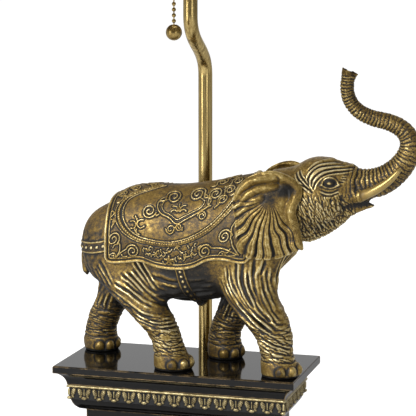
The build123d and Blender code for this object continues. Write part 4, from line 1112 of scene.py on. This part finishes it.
def leaf_band_piece():
    """Bead and leaves as one closed strip round all four sides."""
    places, ways, across = [], [], []
    for k in range(4):
        along, reach = (PLINTH_HALF[side % 2] - BAND_GROUND for side in (k, k + 1))
        c, s = math.cos(k * math.pi / 2), math.sin(k * math.pi / 2)
        run, way = np.array([c, s]), np.array([s, -c])
        pitch = 2 * along / LEAVES[k % 2]
        steps = int(2 * along / BAND_STEP)
        for i in range(steps):
            u = -along + 2 * along * i / steps
            places.append(way * reach + run * u)
            ways.append(way - run if i == 0 else way)
            cell = (u + along) / pitch
            across.append((cell - round(cell)) * pitch)
    places, ways = np.array(places), np.array(ways)
    a, b = np.meshgrid(across, np.linspace(0.0, BAND_HIGH, int(BAND_HIGH / BAND_STEP)))
    height = np.maximum(2.05 * dome(b - 1.35, 1.3), leaf_relief(a, b - 3.0) * (b > 2.9))
    height += 0.10 * lattice_noise(71, a * 2.2, b * 1.3, places[:, 0] + 0 * a)
    outer, inner = (np.concatenate([places + ways * proud[..., None], (BAND_TOP - b)[..., None]], 2)
                    for proud in (height, BAND_GROUND - BAND_BACK + 0 * a))
    order = np.arange(a.size).reshape(a.shape)
    strip = two_layers("leaf_strip", outer, inner, grid_faces(*a.shape, wrap=True),
                       [[*order[0]], [*order[-1]]], turned=False)
    weld(strip)
    ground = 0.55 * smoothstep(0.75, 0.25, height.ravel())
    relief_mask(strip, ((3, 0.6), (14, 0.25)), np.append(ground, 0 * ground) - 0.05)
    return strip


# ---- shade ---------------------------------------------------------------------------------------
SHADE_AXIS = (1.5, 3.0)
SHADE_ENDS = ((289.0, 189.8), (501.0, 111.8))         # height and outer radius
LINING = -1.0                                         # the inner face, in from the skin's


def shade_ring(z, grow=0.0):
    """Outer radius of the shade's skin at a height."""
    (z0, r0), (z1, r1) = SHADE_ENDS
    return r0 + (z - z0) / (z1 - z0) * (r1 - r0) + grow


def turned(name, outline, columns, wobble):
    """A closed ring swept round the shade's axis from a closed outline of (radius, height)."""
    angle = 2 * math.pi * np.arange(columns) / columns
    r, z = (np.repeat(column[:, None], columns, 1) for column in np.array(outline).T)
    r = r + wobble(angle + 0 * r, z, r)
    verts = np.stack([SHADE_AXIS[0] + r * np.cos(angle), SHADE_AXIS[1] + r * np.sin(angle), z], -1)
    last = (len(outline) - 1) * columns
    faces = grid_faces(len(outline), columns, wrap=True)
    faces += [(last + c, last + (c + 1) % columns, (c + 1) % columns, c) for c in range(columns)]
    obj = new_mesh(name, verts.reshape(-1, 3), faces)
    weld(obj)
    return obj


def linen_drape(angle, z, r):
    """The skin's small waves between its seams, with a lapped seam down the back."""
    flat = np.stack([np.cos(angle) * 3.2, np.sin(angle) * 3.2, z / 60.0])
    wave = 0.55 * lattice_noise(81, *(1.6 * flat)) + 0.2 * lattice_noise(82, *(6.0 * flat))
    gap = np.abs(((angle - 1.9 + math.pi) % (2 * math.pi)) - math.pi) * r
    edge = np.minimum(z - SHADE_ENDS[0][0], SHADE_ENDS[1][0] - z)
    return (wave + 0.7 * smoothstep(6.0, 5.0, gap)) * smoothstep(3.0, 16.0, edge)


def shade_skin_piece():
    """The linen and its lining."""
    heights = np.linspace(SHADE_ENDS[0][0] + 0.3, SHADE_ENDS[1][0] - 0.3, 64)
    outline = [(shade_ring(z), z) for z in heights] + [(shade_ring(z, LINING), z) for z in heights[::-1]]
    return turned("shade_linen_skin", outline, 480, linen_drape)


def tape_piece(name, low, high):
    """A folded tape over one of the shade's rims, with a row of stitches near its free edge."""
    outline = []
    for face, proud, count in ((0.05, 1.15, 26), (LINING, -0.35, 10)):
        for t in np.linspace(0, 1, count)[::1 if proud > 0 else -1]:
            z = low + t * (high - low)
            outline.append((shade_ring(z, face + proud * math.sqrt(max(0.0, 1 - (2 * t - 1) ** 8))), z))
    girth = 2 * math.pi * shade_ring(low)
    stitches = int(girth / 3.4)
    sew = low + (0.82 if low < 350 else 0.18) * (high - low)

    def stitching(angle, z, r):
        thread = bump(z, sew, 0.55) * (0.35 * np.cos(stitches * angle) - 0.45)
        return (r > shade_ring(z, 0.5)) * (thread + 0.08 * np.cos(angle * stitches * 1.7 + z * 3.0))

    return turned(name, outline, int(girth / 0.85), stitching)


# ---- materials -----------------------------------------------------------------------------------
CONTRAST = 1.55
GOLD_RAMP = [
    (0, (0.003, 0.002, 0.001)), (0.2, (0.01, 0.007, 0.003)), (0.38, (0.07, 0.042, 0.009)),
    (0.52, (0.17, 0.104, 0.022)), (0.66, (0.3, 0.205, 0.058)), (0.8, (0.45, 0.335, 0.125)),
    (0.97, (0.62, 0.52, 0.29)),
]
TUSK_RAMP = [
    (0, (0.05, 0.03, 0.008)), (0.45, (0.3, 0.2, 0.058)), (0.8, (0.55, 0.42, 0.17)), (1, (0.72, 0.6, 0.32)),
]
GILT_RAMP = [
    (0, (0.003, 0.003, 0.003)), (0.3, (0.008, 0.007, 0.005)), (0.46, (0.07, 0.05, 0.018)),
    (0.64, (0.22, 0.165, 0.07)), (0.9, (0.5, 0.42, 0.22)),
]
# The CAD nodes that stay in view: the nodes, then the name, dark tone, light tone and gloss of their finish.
FINISHES = [
    ("lamp_pipe", "streaked_antique_brass", (0.22, 0.15, 0.05), (0.74, 0.56, 0.23), (0.16, 0.34),
     dict(metal=1.0, scale=420, stretch=(1, 1, 0.03), grain=2200, bump_height=0.08, worn=(0.75, 0.6, 0.3))),
    ("check_ring socket_cap socket_shell chain_guide pull_chain pull_ball harp harp_saddle finial",
     "antique_brass_fittings", (0.16, 0.10, 0.03), (0.55, 0.40, 0.15), (0.2, 0.4),
     dict(metal=1.0, scale=120.0, worn=(0.8, 0.66, 0.34))),
    ("plug_blades socket_nut screw_shell centre_contact", "bright_brass",
     (0.62, 0.46, 0.18), (0.82, 0.66, 0.32), (0.14, 0.3), dict(metal=1.0, scale=160.0)),
    ("body_screws foot_bolts foot_washers cover_screws pipe_washer pipe_nut", "zinc_plate",
     (0.42, 0.42, 0.40), (0.66, 0.66, 0.65), (0.28, 0.48), dict(metal=1.0, scale=200, worn=(0.8, 0.8, 0.8))),
    ("plinth_casting", "black_gloss_enamel", (0.0016, 0.0015, 0.0014), (0.005, 0.0045, 0.004), (0.05, 0.13),
     dict(scale=25.0, grain=700.0, bump_height=0.03, worn=(0.30, 0.20, 0.085), worn_radius=0.0014,
          worn_share=(0.36, 0.58), specular=0.32)),
    ("socket_body switch_rotor", "moulded_phenolic",
     (0.018, 0.012, 0.010), (0.045, 0.030, 0.024), (0.25, 0.45), dict(worn=(0.10, 0.07, 0.05))),
    ("base_cover socket_liner", "fibre_board", (0.20, 0.14, 0.085), (0.36, 0.27, 0.17), (0.75, 0.95),
     dict(scale=180.0, stretch=(1, 4, 1), grain=1500.0, bump_height=0.5, worn=(0.5, 0.4, 0.28))),
    ("cord_bushing", "matt_rubber",
     (0.012, 0.012, 0.012), (0.035, 0.034, 0.032), (0.6, 0.85), dict(scale=90.0, bump_height=0.3)),
    ("cord", "brown_flex",
     (0.020, 0.013, 0.008), (0.050, 0.034, 0.022), (0.3, 0.5), dict(scale=60.0, bump_height=0.1)),
    ("plug_body", "moulded_plug", (0.022, 0.015, 0.010), (0.050, 0.036, 0.026), (0.35, 0.6),
     dict(scale=70.0, bump_height=0.35, worn=(0.12, 0.09, 0.07))),
    ("shade_frame", "white_lacquered_wire", (0.70, 0.67, 0.60), (0.86, 0.84, 0.79), (0.3, 0.5),
     dict(scale=120.0, worn=(0.45, 0.43, 0.40))),
    ("bulb_base", "spun_aluminium",
     (0.58, 0.58, 0.57), (0.80, 0.80, 0.79), (0.22, 0.42), dict(metal=1.0, scale=90.0, stretch=(1, 1, 20))),
]


def setup(tree, node, values):
    """Gives a node's inputs, by name or number, their values or the sockets that feed them."""
    for key, value in values.items():
        if isinstance(value, bpy.types.NodeSocket):
            tree.links.new(value, node.inputs[key])
        else:
            node.inputs[key].default_value = value
    return node


def add(tree, kind, values=None, **properties):
    """A new node with its inputs and its properties."""
    node = tree.nodes.new("ShaderNode" + kind)
    for key, value in properties.items():
        setattr(node, key, value)
    return setup(tree, node, values or {})


def node_material(name):
    """A new node material with its tree and main shader."""
    material = bpy.data.materials.new(name)
    material.use_nodes = True
    return material, material.node_tree, material.node_tree.nodes["Principled BSDF"]


def ramp(tree, source, stops):
    """A colour ramp fed by a socket. A stop's colour may be one number for grey."""
    node = add(tree, "ValToRGB", {"Fac": source})
    element = node.color_ramp.elements
    while len(element) < len(stops):
        element.new(0.5)
    for e, (place, colour) in zip(element, stops):
        e.position = place
        e.color = (*(colour if isinstance(colour, tuple) else (colour,) * 3), 1.0)
    return node.outputs["Color"]


def maths(tree, operation, a, b, c=0.0):
    """One maths node; a, b and c are sockets or numbers."""
    return add(tree, "Math", {0: a, 1: b, 2: c}, operation=operation).outputs[0]


def texture(tree, values, stretch=(1, 1, 1), kind="TexNoise", **properties):
    """A noise or wave texture over object coordinates."""
    place = add(tree, "TexCoord").outputs["Object"]
    mapping = add(tree, "Mapping", {"Vector": place, "Scale": stretch})
    return add(tree, kind, {"Vector": mapping.outputs["Vector"], **values}, **properties).outputs["Fac"]


def mixed(tree, share, first, second):
    """Two colours mixed by a share."""
    return add(tree, "Mix", {"Factor": share, 6: first, 7: second}, data_type="RGBA").outputs[2]


def bumps(tree, height, strength, distance):
    """A normal from a height."""
    return add(tree, "Bump", {"Height": height, "Strength": strength, "Distance": distance}).outputs["Normal"]


def patina_material(name, colours, lift=0.0, rough=(0.62, 0.34), metal=0.7, mottle=1.0):
    """Gold rubbed over a near-black ground: dark where the sculpt is recessed and where painted shade was
    taken off its mask, bare where it is proud.
    """
    material, tree, shader = node_material(name)
    value = add(tree, "Attribute", attribute_name="patina_and_painted_shade").outputs["Fac"]
    broad = texture(tree, {"Scale": 55.0, "Detail": 4.0})
    fine = texture(tree, {"Scale": 900.0, "Detail": 3.0})
    flecks = texture(tree, {"Scale": 330.0, "Detail": 6.0, "Roughness": 0.75})
    for part, weight in ((broad, 0.30), (fine, 0.22 * mottle), (flecks, 0.60 * mottle)):
        value = maths(tree, "MULTIPLY_ADD", part, weight, value)
    value = maths(tree, "MULTIPLY_ADD", value, CONTRAST, 0.5 - (0.65 + 0.41 * mottle) * CONTRAST + lift)
    setup(tree, shader, {
        "Base Color": ramp(tree, value, colours),
        "Metallic": ramp(tree, value, [(0.3, 0.05), (0.6, metal)]),
        "Roughness": ramp(tree, value, [(0.2, rough[0]), (0.9, rough[1])]),
        "Normal": bumps(tree, fine, 0.25 * mottle, 0.0004),
    })
    return material


def worn_edges(tree, radius, share):
    """How far the paint is rubbed off: in patches along the edges."""
    bevel = add(tree, "Bevel", {"Radius": radius}, samples=6).outputs["Normal"]
    flat = add(tree, "NewGeometry").outputs["Normal"]
    dot = add(tree, "VectorMath", {0: bevel, 1: flat}, operation="DOT_PRODUCT").outputs["Value"]
    edge = ramp(tree, maths(tree, "SUBTRACT", 1.0, dot), [(0.02, 0.0), (0.12, 1.0)])
    patch = ramp(tree, texture(tree, {"Scale": 130.0, "Detail": 5.0}), [(share[0], 0.0), (share[1], 1.0)])
    return maths(tree, "MULTIPLY", edge, patch)


def finish(name, dark, light, rough, metal=0.0, scale=40.0, stretch=(1, 1, 1), grain=1200.0, bump_height=0.15,
           worn=None, worn_radius=0.0011, worn_share=(0.42, 0.62), specular=0.5):
    """A plain finish: two tones, uneven gloss, fine grain, and edges rubbed to another colour."""
    material, tree, shader = node_material(name)
    broad = texture(tree, {"Scale": scale, "Detail": 6.0, "Roughness": 0.6}, stretch)
    fine = texture(tree, {"Scale": grain, "Detail": 2.0}, stretch)
    colour = ramp(tree, broad, [(0.32, dark), (0.68, light)])
    gloss = ramp(tree, maths(tree, "MULTIPLY_ADD", fine, 0.4, maths(tree, "MULTIPLY", broad, 0.6)),
                 [(0.35, rough[0]), (0.68, rough[1])])
    if worn:
        mask = worn_edges(tree, worn_radius, worn_share)
        colour = mixed(tree, mask, colour, (*worn, 1.0))
        gloss = maths(tree, "MULTIPLY_ADD", mask, 0.25, gloss)
    setup(tree, shader, {"Base Color": colour, "Roughness": gloss, "Metallic": metal,
                         "Specular IOR Level": specular, "Normal": bumps(tree, fine, bump_height, 0.0002)})
    return material


def cloth_finish(name, dark, light, thread, glow=0.0, fuzz=0.3):
    """A woven cloth: warp and weft bands, slubs, a dull sheen, and some light let through."""
    material, tree, shader = node_material(name)
    wave = {"Scale": thread, "Detail": 2.0, "Detail Scale": 2.0}
    weave = maths(tree, "ADD", *(
        texture(tree, {**wave, "Distortion": bend}, stretch, "TexWave", bands_direction=way)
        for bend, stretch, way in ((1.2, (1, 1, 1), "Z"), (1.5, (1, 1, 0), "DIAGONAL"))))
    slub = texture(tree, {"Scale": 90.0, "Detail": 4.0}, (1, 1, 9))
    value = maths(tree, "MULTIPLY_ADD", weave, 0.22, slub)
    setup(tree, shader, {
        "Base Color": ramp(tree, value, [(0.45, dark), (0.85, light)]),
        "Roughness": ramp(tree, value, [(0.4, 0.95), (0.9, 0.72)]),
        "Sheen Weight": fuzz,
        "Normal": bumps(tree, weave, 0.5, 0.0003),
    })
    if glow:
        see = add(tree, "BsdfTranslucent", {"Color": (*light, 1.0)}).outputs["BSDF"]
        both = add(tree, "MixShader", {"Fac": glow, 1: shader.outputs["BSDF"], 2: see}).outputs["Shader"]
        setup(tree, tree.nodes["Material Output"], {"Surface": both})
    return material


def frosted_glass():
    """Etched glass: milky, rough inside and faintly mottled."""
    material = finish("frosted_bulb_glass", (0.86, 0.85, 0.82), (0.95, 0.94, 0.91), (0.35, 0.55), scale=30.0,
                      grain=2200.0)
    setup(material.node_tree, material.node_tree.nodes["Principled BSDF"], {
        "Transmission Weight": 0.2, "Subsurface Weight": 0.4, "Subsurface Radius": (0.006, 0.006, 0.006)})
    return material


def dress_frame():
    """Gives every CAD node that stays in view its own material."""
    chosen = [(nodes, finish(*tones, **more)) for nodes, *tones, more in FINISHES]
    felt = cloth_finish("green_felt", (0.020, 0.050, 0.030), (0.055, 0.115, 0.072), 700.0, fuzz=0.8)
    for nodes, material in (*chosen, ("felt_pad", felt), ("bulb_glass", frosted_glass())):
        for name in nodes.split():
            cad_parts[name].data.materials[0] = material


# ---- light and camera ----------------------------------------------------------------------------
AREA_LIGHTS = [                                       # name, place, aim, size, power
    ("key", (-0.42, -1.36, 1.05), (0.0, 0, 0.2), (0.5, 0.7), 26),
    ("fill", (1.2, -1.2, 0.5), (0.03, 0, 0.2), (0.35, 0.9), 3.0),
    ("kicker", (-0.9, -1.1, 0.32), (0.0, 0, 0.2), (0.25, 0.6), 3.5),
    ("top", (0.1, 0.2, 2.0), (0.03, 0.1, 0.1), (1.2, 0.8), 9),
]
FLOOR_GLOW = 0.64                                     # lifts the paper floor to white for the camera
FLOOR_RINGS, FLOOR_SPOKES = (0.35, 1.0, 3.0, 12.0, 60.0), 48
CAMERA_AZIMUTH, CAMERA_ELEVATION, CAMERA_DISTANCE = 16.25, 8.3, 1.3
CAMERA_TARGET = (0.0165, 0.0, 0.2031)
CAMERA_LENS = 144.2


def aim(obj, place, target):
    """Puts a light or camera at a place and points it at a target."""
    obj.location = place
    obj.rotation_euler = (Vector(target) - Vector(place)).to_track_quat("-Z", "Y").to_euler()


def paper_floor():
    """A wide pale floor that runs out into the white room."""
    turns = [2 * math.pi * k / FLOOR_SPOKES for k in range(FLOOR_SPOKES)]
    verts = [(0.0, 0.0, 0.0)] + [(r * math.cos(t), r * math.sin(t), 0.0) for r in FLOOR_RINGS for t in turns]
    faces = [(0, 1 + k, 1 + (k + 1) % FLOOR_SPOKES) for k in range(FLOOR_SPOKES)]
    faces += grid_faces(len(FLOOR_RINGS), FLOOR_SPOKES, wrap=True, start=1)
    mesh = bpy.data.meshes.new("paper_floor")
    mesh.from_pydata(verts, [], faces)
    linked("paper_floor", mesh)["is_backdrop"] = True
    material, tree, shader = node_material("paper")
    setup(tree, shader, {"Base Color": (0.62, 0.62, 0.62, 1), "Roughness": 0.9})
    seen = add(tree, "LightPath").outputs["Is Camera Ray"]
    glow = add(tree, "Emission", {"Strength": maths(tree, "MULTIPLY", seen, FLOOR_GLOW)}).outputs["Emission"]
    both = add(tree, "AddShader", {0: shader.outputs["BSDF"], 1: glow}).outputs["Shader"]
    setup(tree, tree.nodes["Material Output"], {"Surface": both})
    mesh.materials.append(material)


def surroundings():
    """A room that is white to the camera and dim to all else, brighter overhead, behind and to the left."""
    world = bpy.data.worlds.new("studio")
    bpy.context.scene.world = world
    world.use_nodes = True
    tree = world.node_tree
    way = add(tree, "SeparateXYZ", {0: add(tree, "TexCoord").outputs["Generated"]})
    value = 0.5
    for axis, weight in (("Z", 0.35), ("X", -0.18), ("Y", 0.23)):
        value = maths(tree, "MULTIPLY_ADD", way.outputs[axis], weight, value)
    room = ramp(tree, value, [(0.25, 0.05), (0.5, 0.26), (0.72, 0.62), (0.9, 0.8)])
    seen = add(tree, "LightPath").outputs["Is Camera Ray"]
    setup(tree, tree.nodes["Background"], {"Color": mixed(tree, seen, room, (1.0,) * 4), "Strength": 1.0})


def studio():
    """Floor, soft light and the camera."""
    paper_floor()
    surroundings()
    for name, place, target, size, power in AREA_LIGHTS:
        data = bpy.data.lights.new(name, "AREA")
        data.shape = "RECTANGLE"
        data.size, data.size_y = size
        data.energy = power
        aim(linked(name, data), place, target)
    data = bpy.data.cameras.new("camera")
    data.sensor_width = 36.0
    data.lens = CAMERA_LENS
    data.clip_start = 0.05
    azimuth, elevation = math.radians(CAMERA_AZIMUTH), math.radians(CAMERA_ELEVATION)
    level = math.cos(elevation)
    back = Vector((math.sin(azimuth) * level, -math.cos(azimuth) * level, math.sin(elevation)))
    camera = linked("camera", data)
    aim(camera, Vector(CAMERA_TARGET) + back * CAMERA_DISTANCE, CAMERA_TARGET)
    bpy.context.scene.camera = camera
    bpy.context.scene.view_settings.view_transform = "Standard"


# ---- assembly ------------------------------------------------------------------------------------
def place_piece(obj, material, slot_name, body, *replaced):
    """Gives a sculpted piece its material and its place in the frame."""
    obj.data.materials.append(material)
    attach(obj, body)
    if replaced:
        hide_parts(*replaced)


GOLD = patina_material("antique_gold_patina", GOLD_RAMP)
TUSK_METAL = patina_material("tusk_brass_patina", TUSK_RAMP, 0.05, (0.42, 0.28), 0.85, 0.25)
GILT = patina_material("rubbed_gilding", GILT_RAMP)
LINEN = cloth_finish("natural_linen", (0.50, 0.44, 0.33), (0.72, 0.66, 0.54), 900.0, glow=0.25)
TAPE = cloth_finish("linen_tape", (0.36, 0.29, 0.19), (0.56, 0.48, 0.34), 1400.0)

animal, animal_field = build_elephant()
place_piece(animal, GOLD, "antique_gold", "lamp", "elephant_near_half", "elephant_far_half")
place_piece(cloth_piece(animal_field), GOLD, "antique_gold", "lamp")
for side, tag in ((-1, "near"), (1, "far")):
    place_piece(ear_piece(tag + "_ear", side), GOLD, "antique_gold", "lamp")
    place_piece(tusk_piece(tag + "_tusk_bar", side), TUSK_METAL, "tusk_brass", "lamp", tag + "_tusk")
place_piece(leaf_band_piece(), GILT, "gilding", "lamp", "leaf_band")
place_piece(shade_skin_piece(), LINEN, "shade_linen", "shade", "shade_fabric")
place_piece(tape_piece("lower_tape", 289.0, 298.0), TAPE, "trim_fabric", "shade", "shade_trim")
place_piece(tape_piece("upper_tape", 494.0, 501.0), TAPE, "trim_fabric", "shade", "shade_trim")
dress_frame()
studio()

[[list(map(float, corner)) for corner in box] for box in (CAD_BOX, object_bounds())]
